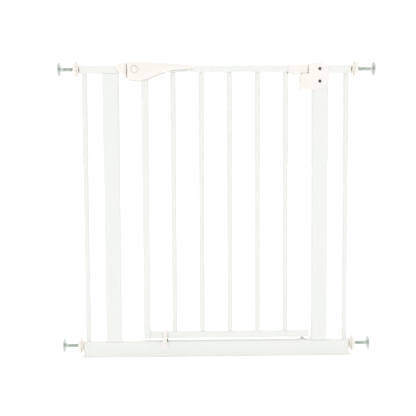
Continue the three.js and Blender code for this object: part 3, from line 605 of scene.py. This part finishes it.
def necked_bar(name, body):
    """A round bar: welded at its foot, swaged at both ends, its top rolled out inside the rail."""
    low, high = box(name)
    radius = (high.x - low.x) / 2
    swaged, wall, inside_rail = 1.05, 1.0, 2.6
    neck = radius - swaged
    # Pairs of a radius and a height from the foot, or down from the rail.
    shoulder = [(neck, 3.2), (neck + 0.08, 3.9), (neck + 0.30, 4.7), (neck + 0.62, 5.5),
                (neck + 0.90, 6.3), (radius - 0.02, 7.1), (radius, 8.0)]
    foot = [(neck + 1.0, 0.0), (neck + 1.05, 0.15), (neck + 0.5, 0.5), (neck + 0.15, 1.0),
            (neck, 1.7)] + shoulder
    head = shoulder[::-1] + [(neck, 1.0), (neck, -1.6), (neck + 0.4, -1.75), (neck + 1.6, -2.0),
                             (neck + 1.6, -inside_rail)]
    profile = [(neck - wall, low.z)] + [(r, low.z + h) for r, h in foot]
    profile += [(r, high.z + GAP - h) for r, h in head] + [(neck - wall, high.z + inside_rail)]
    centre = ((low.x + high.x) / 2, (low.y + high.y) / 2)
    dress(lathe(f"{name}_tube", profile, "z", centre, 40, ring=True), body, "powder_coat", name)


for name in ("left_outer_bar", "right_outer_bar"):
    necked_bar(name, "frame")
for name in DOOR_BARS:
    necked_bar(name, "door")

# ------------ end plugs, nuts and spindles

PITCH = 1.5
SPINDLE_BORE = 5.1


def end_plug(corner, side):
    """A moulded plug: a softly domed flange on the tube's end and a hidden collar in it."""
    node = f"{corner}_plug"
    low, high = box(node)
    spindle_z = seat_of(f"{corner}_spindle")[1]
    hand = corner.split("_")[1]
    rail = box("threshold_rail" if corner.startswith("lower") else f"{hand}_top_stub")
    inner_face = rail[0].x - GAP if side < 0 else rail[1].x + GAP
    outer_face = low.x if side < 0 else high.x
    hidden = high.x if side < 0 else low.x
    width, height = high.y - low.y, high.z - low.z
    middle = seat_of(node)[1]
    corner_radius, back_rim, front_rim = 3.4, 0.35, 1.5
    flange = moulding(
        f"{corner}_end_plug", rounded_rectangle(0, middle, width, height, corner_radius), "x",
        inner_face, outer_face, back_rim, front_rim)
    # The collar starts inside the flange and fits in the tube with a little play.
    collar_corner, overlap, play = 1.0, 1.0, 0.15
    wall = TUBE_WALL + play
    collar = moulding(
        "tool", rounded_rectangle(0, middle, width - 2 * wall, height - 2 * wall, collar_corner),
        "x", inner_face + side * overlap, hidden, 0.1, 0.5)
    past_collar, past_flange = 15, 3
    bore = drill("x", (0, spindle_z), inner_face - side * past_collar,
                 outer_face + side * past_flange, SPINDLE_BORE)
    dress(cut(add(flange, collar), bore), "frame", "white_plastic", node)


def hand_nut(corner, side):
    """A round hand nut: hub towards the gate, hollow rim with fine grip ribs and a boss."""
    node = f"{corner}_nut"
    low, high = box(node)
    centre = (0.0, seat_of(node)[1])
    radius = (high.z - low.z) / 2
    start = high.x if side < 0 else low.x
    total = high.x - low.x
    hub, boss = 11.5, 9.0
    rim_start, rim_end = 5.5, total - 1.6
    # Pairs of a radius and a distance from the plug, and each corner's rounding.
    profile = [
        (SPINDLE_BORE, 0.0), (hub, 0.0), (hub - 0.5, rim_start + 1.6),
        (radius - 4.2, rim_start + 1.9), (radius - 3.4, rim_start), (radius, rim_start),
        (radius, rim_end), (boss + 2.6, rim_end), (boss + 0.6, rim_end - 0.9), (boss, total),
        (SPINDLE_BORE, total),
    ]
    rounding = [0, 0.8, 1.2, 1.0, 1.3, 2.8, 3.2, 1.0, 1.0, 0.9, 0.6]
    placed_profile = [(r, start + side * h) for r, h in fillet(profile, rounding, 6)]
    ribs, points_per_rib, rib_depth, rib_reach = 36, 5, 0.08, 0.8

    def ripple(angle, r):
        reach = max(0.0, (r - (radius - rib_reach)) / rib_reach)
        return r - rib_depth * reach * (0.5 - 0.5 * cos(ribs * angle)) ** 2

    shape = lathe(f"{corner}_hand_nut", placed_profile, "x", centre, ribs * points_per_rib, ripple,
                  ring=True)
    dress(shape, f"{corner}_nut", "white_plastic", node)


def threaded_spindle(corner, side):
    """A rolled-thread spindle with a disc head: the thread is a real helix."""
    node = f"{corner}_spindle"
    low, high = box(node)
    centre_z = seat_of(node)[1]
    head = (high.z - low.z) / 2
    face = low.x if side < 0 else high.x
    length = high.x - low.x
    outer, depth, tip, lead_in = 4.8, 0.62, 3.9, 0.4
    shoulder = length - 3.4
    smooth_from = shoulder - 7.0
    segments, steps = 24, 6
    # Shares of half a pitch taken by the root and by the slope, and the thread's two run-outs.
    root, slope, run_out_head, run_out_tip, tip_start = 0.12, 0.76, 2.5, 1.4, 0.6

    def loop_at(radius_of, along):
        loop = []
        for k in range(segments):
            angle = tau * k / segments
            r = radius_of(angle)
            x = face - side * (length - along)
            loop.append((x, r * cos(angle), centre_z + r * sin(angle)))
        return loop

    loops = [loop_at(lambda a: tip, 0.0)]
    rows = int(smooth_from / PITCH * steps)
    for i in range(rows + 1):
        along = lead_in + (smooth_from - lead_in) * i / rows

        def radius_of(angle, along=along):
            phase = along / PITCH - side * angle / (2 * pi)
            saw = abs((phase % 1.0) * 2 - 1)
            crest = min(1.0, max(0.0, (saw - root) / slope))
            run_out = min(1.0, (smooth_from - along) / run_out_head,
                          (along + tip_start) / run_out_tip)
            return outer - depth * (1 - crest) * max(run_out, 0.0)

        loops.append(loop_at(radius_of, along))
    # The plain neck flares into the disc head, whose face has a shallow ring.
    neck = [(outer, smooth_from + 1.2), (4.9, shoulder - 4.4), (5.5, shoulder - 3.2),
            (6.5, shoulder - 1.9), (7.9, shoulder - 0.9), (10.0, shoulder - 0.25),
            (13.0, shoulder + 0.05), (head - 1.1, shoulder + 0.2), (head - 0.35, shoulder + 0.55),
            (head, shoulder + 1.25), (head, length - 1.3), (head - 0.35, length - 0.5),
            (head - 1.2, length - 0.05), (head - 3.0, length), (head - 3.6, length - 0.35),
            (head - 4.3, length - 0.35), (head - 4.9, length), (3.0, length)]
    for r, along in neck:
        loops.append(loop_at(lambda a, r=r: r, along))
    dress(loft(f"{corner}_threaded_spindle", loops), f"{corner}_spindle", "zinc_steel", node)


for corner, side in (("upper_left", -1), ("upper_right", 1),
                     ("lower_left", -1), ("lower_right", 1)):
    end_plug(corner, side)
    hand_nut(corner, side)
    threaded_spindle(corner, side)

# ------------ handle

# The leaf's length, and its heights from the frame's top.
LEAF = {"length": 169.4, "drop": 37.5, "rise": 11.0, "left_drop": 33.6, "tip_top": -0.6,
        "tip_bottom": -5.6}
handle_left = handle_box[0].x
handle_right = handle_left + LEAF["length"]
handle_face = handle_box[1].y
cheek_inner = handle_face - 4.0
BUTTON_BORE = 8.9


def leaf_edges():
    """The leaf's lower and upper edge as rows of (x, z), from left to right."""
    left, right, top = handle_left, handle_right, frame_top
    under = Outline(left, top - LEAF["left_drop"])
    under.curve(left + 9, top - LEAF["drop"] + 0.4, left + 20, top - LEAF["drop"],
                left + 30, top - LEAF["drop"] + 0.4, 40)
    under.curve(left + 56, top - LEAF["drop"] + 2.6, left + 76, top - 18,
                left + 112, top - 12.4, 60)
    under.curve(left + 132, top - 9.2, right - 14, top - 8.2, right, top + LEAF["tip_bottom"], 50)
    over = Outline(right, top + LEAF["tip_top"])
    over.curve(right - 46, top + 5, right - 92, top + LEAF["rise"] - 1.6, left + 7,
               top + LEAF["rise"], 90)
    over.bend(left, top + LEAF["rise"] - 0.4, left, top + LEAF["rise"] - 5, 14)
    return under.points, over.points[::-1]


def height_at(row, x):
    """Linear interpolation along a row of (x, z)."""
    for (x0, z0), (x1, z1) in zip(row, row[1:]):
        if x0 <= x <= x1 and x1 > x0:
            return z0 + (z1 - z0) * (x - x0) / (x1 - x0)
    return row[-1][1] if x > row[-1][0] else row[0][1]


def half_leaf(name, side):
    """One crowned half of the handle, lofted through upright sections along its length."""
    under, over = leaf_edges()
    # Each entry is a section's place and how far it is drawn in to round the two ends.
    stations = [(0.0, 1.3), (0.12, 0.85), (0.45, 0.42), (0.95, 0.12), (1.5, 0.0)]
    stations += [(1.5 + (LEAF["length"] - 5.5) * (i / 70), 0.0) for i in range(1, 71)]
    nose = [(3.2, 0.08), (2.2, 0.35), (1.2, 0.75), (0.5, 1.2), (0.0, 1.7)]
    stations += [(LEAF["length"] - back, drawn) for back, drawn in nose]
    most_crown, most_edge_top, most_edge_low = 1.1, 4.2, 3.0
    crown_share, edge_share, inwards = 0.05, 0.40, (0.35, 0.6)
    edge_steps, crown_steps = 7, 12
    loops = []
    for offset, drawn in stations:
        x = handle_left + offset
        low = height_at(under, min(x, handle_right)) + drawn
        high = height_at(over, min(x, handle_right)) - drawn
        tall = high - low
        face = handle_face - drawn
        crown = min(most_crown, tall * crown_share)
        edge_top = min(most_edge_top, tall * edge_share)
        edge_low = min(most_edge_low, tall * edge_share)
        shoulder = face - crown
        section = [(GAP, high)] + [(shoulder * share, high) for share in inwards]
        for s in range(edge_steps + 1):
            angle = pi / 2 * s / edge_steps
            section.append((shoulder - edge_top + edge_top * sin(angle),
                            high - edge_top + edge_top * cos(angle)))
        z0, z1 = high - edge_top, low + edge_low
        for s in range(1, crown_steps):
            t = s / crown_steps
            section.append((shoulder + crown * (1 - (2 * t - 1) ** 2), z0 + (z1 - z0) * t))
        for s in range(edge_steps + 1):
            angle = pi / 2 * s / edge_steps
            section.append((shoulder - edge_low + edge_low * cos(angle),
                            low + edge_low - edge_low * sin(angle)))
        section += [(shoulder * share, low) for share in reversed(inwards)] + [(GAP, low)]
        loops.append([(x, side * y, z) for y, z in section])
    return loft(name, loops)


def handle_shell(word, side):
    """Half a handle: hollow over the door's rail and latch, with its pin and screw holes."""
    body = half_leaf(f"handle_{word}_shell", side)
    if side > 0:
        # A lip that narrows the slit below the lever pin, clear of the bolt.
        lip = block(handle_left - 1.7, handle_left + 2, 4.2, handle_face - 2,
                    frame_top - 27, frame_top - 3)
        body = add(body, lip)
    past_end, latch_room, over_rail, roof_wall = 6, 38, 0.6, 3.2
    lever_bore, lever_depth, drive_bore, drive_depth = 2.3, 2.8, 1.65, 2.6
    left = handle_left - 2
    roof = frame_top + LEAF["rise"] - roof_wall
    tools = [
        block(left, handle_right + past_end, -cheek_inner, cheek_inner, frame_top - 100,
              frame_top + over_rail),
        block(left, handle_left + latch_room, -cheek_inner, cheek_inner, frame_top - 2, roof),
        drill("y", seat_of("lever_pin"), -cheek_inner - lever_depth, cheek_inner + lever_depth,
              lever_bore, segments=24),
    ]
    if side < 0:
        tools.append(drill("y", seat_of("lock_button"), -handle_face - 5, 0, BUTTON_BORE))
    else:
        tools.append(drill("y", seat_of("drive_pin"), 0, cheek_inner + drive_depth, drive_bore,
                           segments=24))
    head_bore, head_depth, thread_bore, thread_reach = 2.3, 1.9, 1.25, 8
    for screw in ("handle_screw_left", "handle_screw_right"):
        place = seat_of(screw)
        outside = handle_face + 1
        if side > 0:
            tools.append(drill("y", place, outside, handle_face - head_depth, head_bore, 0.5, 32))
        end = outside if side > 0 else thread_reach
        tools.append(drill("y", place, -thread_reach, end, thread_bore, segments=24))
    dress(cut(body, *tools), "handle", "white_plastic", f"handle_{word}")


handle_shell("front", -1)
handle_shell("rear", 1)

button_low, button_high = box("lock_button")
button_place = seat_of("lock_button")
button_radius = (button_high.x - button_low.x) / 2
collar_radius = 10.6
collar_front, collar_back = box("handle_front")[0].y, -handle_face + 1.2
collar = fillet([(BUTTON_BORE, collar_back), (BUTTON_BORE, collar_front),
                 (collar_radius, collar_front), (collar_radius, collar_back)], [0, 0.5, 0.6, 0])
dress(lathe("button_collar", collar, "y", button_place, 56, ring=True), "handle", "white_plastic")

# The button's face: a shallow dish, a groove and a rounded rim.
front = button_low.y
button_profile = [
    (AXIS, front + 0.30), (2.0, front + 0.24), (3.6, front + 0.10), (4.9, front),
    (5.5, front + 0.02), (5.85, front + 0.22), (6.15, front + 0.42), (6.5, front + 0.40),
    (6.9, front + 0.22), (7.5, front + 0.30), (8.0, front + 0.62), (8.35, front + 1.15),
    (button_radius, front + 1.9), (button_radius, button_high.y), (AXIS, button_high.y),
]
dress(lathe("release_button", button_profile, "y", button_place, 56), "lock_button",
      "button_plastic", "lock_button")

# ------------ catch

slit_left = catch_box[1].x
catch_tip = catch_box[0].x


def catch_half(word, side):
    """Half the catch on the left post, with the bolt's pocket and the screws' holes."""
    top = frame_top
    post_face = left_post[1].x
    outline = Outline(catch_tip + 1.9, top - 3.8)
    foot = 1.3
    outline.arc(slit_left - foot, top - 28.65, foot, 226, 360, 12)
    outline.line(slit_left, top + 5.0)
    outline.bend(slit_left, top + 7.3, slit_left - 2.4, top + 7.2)
    outline.bend(post_face, top + 4.8, catch_tip + 3.4, top + 0.5, 16)
    outline.bend(catch_tip - 0.9, top - 1.6, catch_tip + 1.9, top - 3.8, 10)
    face = side * catch_box[1].y
    seam_rim, face_rim = 0.2, 1.0
    body = moulding(f"catch_{word}_shell", outline.loop(), "y", side * GAP, face, seam_rim,
                    face_rim)
    # The pocket is a little wider and deeper than the bolt's nose.
    room, past_nose = 3.4, 0.6
    bolt_left, middle = box("latch_bolt")[0].x, seat_of("latch_bolt")[1]
    half = post_depth + GAP
    tools = [
        block(post_face - 100, post_face + GAP, -half, half, 0, top + GAP),
        block(bolt_left - past_nose, slit_left + 2, -room, room, middle - room, middle + room),
    ]
    for screw in ("catch_screw_upper", "catch_screw_lower"):
        tools.append(screw_well(seat_of(screw), catch_box[1].y, depth=1.8, foot=-9.5,
                                head_radius=3.0, hole_radius=1.55))
    if side < 0:
        # A rebate beside the slit, cut into the front.
        tools.append(block(slit_left - 2.6, slit_left + 2, -20, face + 2.4, top - 19, top + 1.8))
    dress(cut(body, *tools), "frame", "white_plastic", f"catch_{word}")


catch_half("front", -1)
catch_half("rear", 1)

# ------------ bracket and hinge sleeve

sleeve_half = (sleeve_box[1].y - sleeve_box[0].y) / 2
block_top = sleeve_box[0].z - 0.6


def bracket_half(word, side):
    """Half the bracket: a block under the hinge, a round plate on the post, and bolt recesses."""
    low, high = bracket_box
    bottom, top = low.z, high.z
    left, right = low.x, high.x
    inner = right_post[0].x
    slit_face = sleeve_box[1].x + 1.2
    step, step_top = left + 3.0, block_top - 5.0
    straight = inner + 13
    middle = frame_top - 22
    outline = Outline(left + 2.2, bottom)
    outline.line(straight, bottom)
    outline.curve(right - 11, bottom + 2, right, bottom + 18, right, middle, 34)
    outline.curve(right, middle + 18, right - 13, top, straight, top, 34)
    outline.line(slit_face + 2.2, top - 0.8)
    outline.bend(slit_face, top - 0.9, slit_face, top - 3.2)
    outline.line(slit_face, block_top)
    outline.line(step + 1.8, block_top)
    outline.bend(step, block_top, step, block_top - 1.8)
    outline.line(step, step_top)
    outline.line(left + 2.2, step_top)
    outline.bend(left, step_top, left, step_top - 2.2)
    outline.line(left, bottom + 2.2)
    outline.bend(left, bottom, left + 2.2, bottom)
    face = side * high.y
    seam_rim, face_rim = 0.2, 1.5
    body = moulding(f"bracket_{word}_shell", outline.loop(), "y", side * GAP, face, seam_rim,
                    face_rim)
    half = post_depth + GAP
    # The sleeve's corners sweep a circle when the door swings.
    swept = sleeve_half * sqrt(2) - 0.1
    pin_bore, below_pin, bolt_hole, blind_wall = 4.3, 0.3, 2.15, 1.4
    # Radius, depth and segments of the dished recess and the well in it.
    recesses = [(5.2, 0.9, 48), (4.0, 3.1, 40)]
    tools = [
        block(inner - GAP, inner + 100, -half, half, 0, frame_top + GAP),
        drill("z", hinge, box("upper_hinge_pin")[0].z - below_pin, block_top + 8, pin_bore),
        drill("z", hinge, block_top, frame_top + 30, swept, segments=96),
    ]
    for screw in ("bracket_screw_upper", "bracket_screw_lower"):
        place = seat_of(screw)
        if side < 0:
            for radius, depth, segments in recesses:
                tools.append(drill("y", place, face - 1, face + depth, radius, segments=segments))
        start, end = (face - 1, 1) if side < 0 else (-1, face - blind_wall)
        tools.append(drill("y", place, start, end, bolt_hole, segments=24))
    dress(cut(body, *tools), "frame", "white_plastic", f"bracket_{word}")


bracket_half("front", -1)
bracket_half("rear", 1)


def hinge_sleeve():
    """The moulded end of the top rail, which holds the rail and turns on the upper pin."""
    low, high = sleeve_box
    bottom, top = low.z, high.z
    corner, lower_rim, upper_rim = 1.8, 0.8, 1.4
    plan = rounded_rectangle((low.x + high.x) / 2, 0, high.x - low.x, 2 * sleeve_half, corner)
    body = moulding("hinge_sleeve_shell", plan, "z", bottom, top, lower_rim, upper_rim)
    grip, screw_hole, pin_bore, pin_roof = 8.15, 1.55, 4.15, 1.5
    rail_middle = (top_rail[0].z + top_rail[1].z) / 2
    screw = box("sleeve_screw")
    screw_place = ((screw[0].x + screw[1].x) / 2, (screw[0].y + screw[1].y) / 2)
    tools = [
        block(low.x - 2, top_rail[1].x + GAP, -grip, grip, rail_middle - grip, rail_middle + grip),
        drill("z", hinge, bottom - 6, frame_top - pin_roof, pin_bore),
        drill("z", screw_place, bottom - 1, top_rail[0].z + 1, screw_hole, segments=24),
    ]
    dress(cut(body, *tools), "door", "white_plastic", "hinge_sleeve")


hinge_sleeve()

# ------------ direction stop


def direction_stop():
    """The swivel clip on the threshold: a round boss, an arm with a rib, a cap, and a dark leaf put
    in the gap under the door as painted shade.
    """
    low, high = box("direction_stop")
    x, z = seat_of("stop_screw")
    radius = z - low.z
    tip_z, waist_z = z + 41.5, z + 18.0
    tip_x, waist_x = x + 2.6, x + 2.2
    waist, tip, corner = 4.4, 4.9, 3.0
    boss_start, boss_end = 150, 395
    start = (x + radius * cos(radians(boss_start)),
             z + radius * sin(radians(boss_start)))
    outline = Outline(*start)
    outline.arc(x, z, radius, boss_start, boss_end, 40)
    outline.curve(x + 6.5, z + 9, waist_x + waist, waist_z - 7, waist_x + waist, waist_z)
    outline.curve(waist_x + waist, waist_z + 6, tip_x + tip, tip_z - 10,
                  tip_x + tip, tip_z - corner)
    outline.bend(tip_x + tip, tip_z, tip_x + tip - corner, tip_z)
    outline.line(tip_x - tip + corner, tip_z)
    outline.bend(tip_x - tip, tip_z, tip_x - tip, tip_z - corner)
    outline.curve(tip_x - tip, tip_z - 9, waist_x - waist, waist_z + 7, waist_x - waist, waist_z)
    outline.curve(waist_x - waist, waist_z - 6, x - 7, z + 12, *start)
    back = high.y
    back_rim, front_rim, screw_hole, well = 0.3, 1.5, 2.3, 3.9
    clip = moulding("direction_stop_clip", outline.loop(), "y", back, low.y, back_rim, front_rim)
    # A raised rib runs across the arm's front, from the boss to the tip.
    rib = Outline(waist_x - 3.4, z + 8)
    rib.line(waist_x - 0.4, z + 8)
    rib.curve(waist_x - 0.4, z + 20, tip_x + 3.6, z + 23, tip_x + 3.6, tip_z - 4)
    rib.line(tip_x + 0.8, tip_z - 4)
    rib.curve(tip_x + 0.8, z + 26, waist_x - 3.4, z + 22, waist_x - 3.4, z + 8)
    body = add(clip, moulding("rib", rib.loop(), "y", low.y + 0.6, low.y - 0.8, 0.1, 0.5))
    tools = [
        drill("y", (x, z), back + 3, low.y - 3, screw_hole, segments=32),
        drill("y", (x, z), low.y - 3, low.y + 1.6, well, segments=40),
    ]
    dress(cut(body, *tools), "direction_stop", "white_plastic", "direction_stop")
    # A snapped-on cap hides the screw.
    cap_low = low.y - 1.35
    cap = [(AXIS, cap_low), (3.0, cap_low + 0.08), (5.2, cap_low + 0.35), (6.6, cap_low + 0.85),
           (7.0, low.y - 0.2), (7.0, low.y + 0.1), (4.3, low.y + 0.1), (4.1, low.y - 0.45),
           (AXIS, low.y - 0.45)]
    dress(lathe("direction_stop_cap", cap, "y", (x, z), 48), "direction_stop", "white_plastic")
    # A dark steel leaf in the gap under the door: its dark colour is painted shade, put where the
    # gap lies in shadow.
    leaf = rounded_rectangle(waist_x + 3.2, z + 13.5, 7.6, 8.4, 2.0)
    dress(moulding("direction_stop_shade_leaf", leaf, "y", back - 1.6, back - 3.2, 0.3, 0.3),
          "direction_stop", "dark_screw")


direction_stop()

# ------------ small parts


def bolt_head(node, name, body, outward):
    """A screw with a domed head: a dark hex bolt at the front, a plated cross-head at the back."""
    low, high = box(node)
    place = seat_of(node)
    radius = (high.x - low.x) / 2
    face = low.y if outward < 0 else high.y
    shank_end = high.y if outward < 0 else low.y
    head = 1.2 if radius < 3 else 2.0
    shank = radius * 0.54
    # The dome: shares of the head's radius, and how far each lies below its top.
    dome = [(0.55, 0.06), (0.85, 0.28), (0.97, 0.6), (1.0, head)]
    profile = [(AXIS, face)] + [(radius * share, face - outward * below) for share, below in dome]
    profile += [(shank, face - outward * head), (shank, shank_end + outward * 0.5),
                (shank * 0.7, shank_end), (AXIS, shank_end)]
    screw = lathe(name, profile, "y", place, 40)
    if outward < 0:
        socket_depth, socket_across = 0.7, 0.95
        screw = cut(screw, hex_socket(
            place, face + outward, face - outward * head * socket_depth, radius * socket_across))
    else:
        arm, half, cross_depth = radius * 0.62, radius * 0.15, 0.6
        y0, y1 = sorted((face - outward * head * cross_depth, face + outward))
        cross = add(
            block(place[0] - arm, place[0] + arm, y0, y1, place[1] - half, place[1] + half),
            block(place[0] - half, place[0] + half, y0, y1, place[1] - arm, place[1] + arm))
        screw = cut(screw, cross)
    dress(screw, body, "dark_screw" if outward < 0 else "zinc_steel", node)


for screw, fixing, body, outward, ends in (
        ("bracket_screw", "bracket_bolt", "frame", -1, ("upper", "lower")),
        ("catch_screw", "catch_fixing", "frame", 1, ("upper", "lower")),
        ("handle_screw", "handle_fixing", "handle", 1, ("left", "right"))):
    for end in ends:
        bolt_head(f"{screw}_{end}", f"{fixing}_{end}", body, outward)


def bolt_coil():
    """The spring behind the latch bolt: a helix of round wire."""
    low, high = box("bolt_spring")
    turns, steps, wire, wire_points, travel = 3, 28, 0.36, 10, 7.3
    middle = (low + high) / 2
    radius = (high.y - low.y) / 2 - wire
    start, end = low.x + wire, high.x - wire
    loops = []
    for i in range(turns * steps + 1):
        share = i / (turns * steps)
        angle = share * turns * tau
        x = start + (end - start) * share
        loops.append([
            (x + wire * sin(turn),
             middle.y + (radius + wire * cos(turn)) * sin(angle),
             middle.z + (radius + wire * cos(turn)) * cos(angle))
            for turn in [tau * k / wire_points for k in range(wire_points)]])
    coil = dress(loft("bolt_coil", loops), "door", "spring_steel", "bolt_spring")
    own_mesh(coil)


bolt_coil()

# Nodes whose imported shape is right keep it, with softened edges and the detailed finishes.
KEPT = {
    "white_plastic": ["left_stub_cap", "right_stub_cap", "lower_pivot_socket", "door_rail_cap",
                      "stile_cap", "latch_housing", "latch_bolt"],
    "zinc_steel": ["stop_screw", "sleeve_screw", "upper_hinge_pin", "lower_hinge_pin", "lever_pin",
                   "drive_pin"],
    "spring_steel": ["lever_spring"],
}
SOFT_EDGE = 0.25 * MM
for slot, nodes in KEPT.items():
    for node in nodes:
        kept = NODES[node]
        kept.data.materials.clear()
        kept.data.materials.append(MATERIALS[slot])
        if slot != "spring_steel":
            soften = kept.modifiers.new("soft_edges", "BEVEL")
            soften.width = SOFT_EDGE
            soften.segments = 2
            soften.limit_method = "ANGLE"
            soften.angle_limit = radians(40)
            weighted = kept.modifiers.new("weighted_normals", "WEIGHTED_NORMAL")
            weighted.keep_sharp = True

# ------------ floor, light and camera


def pale_floor():
    """A large plain floor, a shade off white, with the faintest variation."""
    look = Shader("pale_floor")
    drift = look.remap(look.noise(scale=0.7, detail=3), low=0.0, high=1.0)
    look.link(look.blend(drift, (0.93, 0.93, 0.93), (0.95, 0.95, 0.95)), "Base Color")
    look.set(Roughness=0.75, Emission_Color=(1.0, 1.0, 1.0, 1.0), Emission_Strength=0.16)
    half = 40 / MM
    corners = [(-half, -half, 0), (half, -half, 0), (half, half, 0), (-half, half, 0)]
    floor = piece_from("floor", corners, [(0, 1, 2, 3)])
    floor.data.materials.append(look.material)


pale_floor()


def studio_world():
    """A white surround, a little dimmer to the two sides."""
    world = bpy.data.worlds.new("studio")
    world.use_nodes = True
    tree = world.node_tree
    generated = tree.nodes.new("ShaderNodeTexCoord").outputs["Generated"]
    direction = new_node(tree, "ShaderNodeSeparateXYZ", {"Vector": generated})
    aside = new_node(tree, "ShaderNodeMath", {0: direction.outputs["X"]})
    aside.operation = "ABSOLUTE"
    fade = new_node(tree, "ShaderNodeMapRange", {"Value": aside.outputs["Value"]},
                    From_Min=0.35, From_Max=0.95, To_Min=1.03, To_Max=0.60)
    fade.interpolation_type = "SMOOTHSTEP"
    # Seen directly, the surround is always white.
    seen = tree.nodes.new("ShaderNodeLightPath").outputs["Is Camera Ray"]
    backdrop = new_node(tree, "ShaderNodeMath", {0: fade.outputs["Result"], 1: seen})
    backdrop.operation = "MAXIMUM"
    background = tree.nodes["Background"]
    background.inputs["Color"].default_value = (1.0, 1.0, 1.0, 1.0)
    tree.links.new(backdrop.outputs["Value"], background.inputs["Strength"])
    bpy.context.scene.world = world


studio_world()
canopy = bpy.data.lights.new("canopy", "SUN")
canopy.energy = 0.5
canopy.angle = radians(70)
canopy_lamp = bpy.data.objects.new("canopy", canopy)
canopy_lamp.rotation_euler = (radians(-12), radians(-8), 0)
scene = bpy.context.scene
scene.collection.objects.link(canopy_lamp)
scene.view_settings.view_transform = "Standard"
scene.view_settings.look = "None"
scene.view_settings.exposure = 0.0
scene.view_settings.gamma = 1.0

# The camera stands a little left of the middle and looks slightly down; metres and degrees.
CAMERA_PLACE = Vector((-0.0646, -1.9006, 0.5237))
YAW, PITCH_DOWN, ROLL = radians(1.207), radians(4.111), radians(-0.30)
forward = Vector((sin(YAW) * cos(PITCH_DOWN), cos(YAW) * cos(PITCH_DOWN),
                  -sin(PITCH_DOWN)))
level = Vector((cos(YAW), -sin(YAW), 0))
upright = level.cross(forward)
right = level * cos(ROLL) + upright * sin(ROLL)
above = upright * cos(ROLL) - level * sin(ROLL)
lens = bpy.data.cameras.new("camera")
lens.sensor_width = 36.0
lens.lens = 63.8
camera = bpy.data.objects.new("camera", lens)
camera.matrix_world = Matrix((
    (right.x, above.x, -forward.x, CAMERA_PLACE.x),
    (right.y, above.y, -forward.y, CAMERA_PLACE.y),
    (right.z, above.z, -forward.z, CAMERA_PLACE.z),
    (0, 0, 0, 1),
))
scene.collection.objects.link(camera)
scene.camera = camera
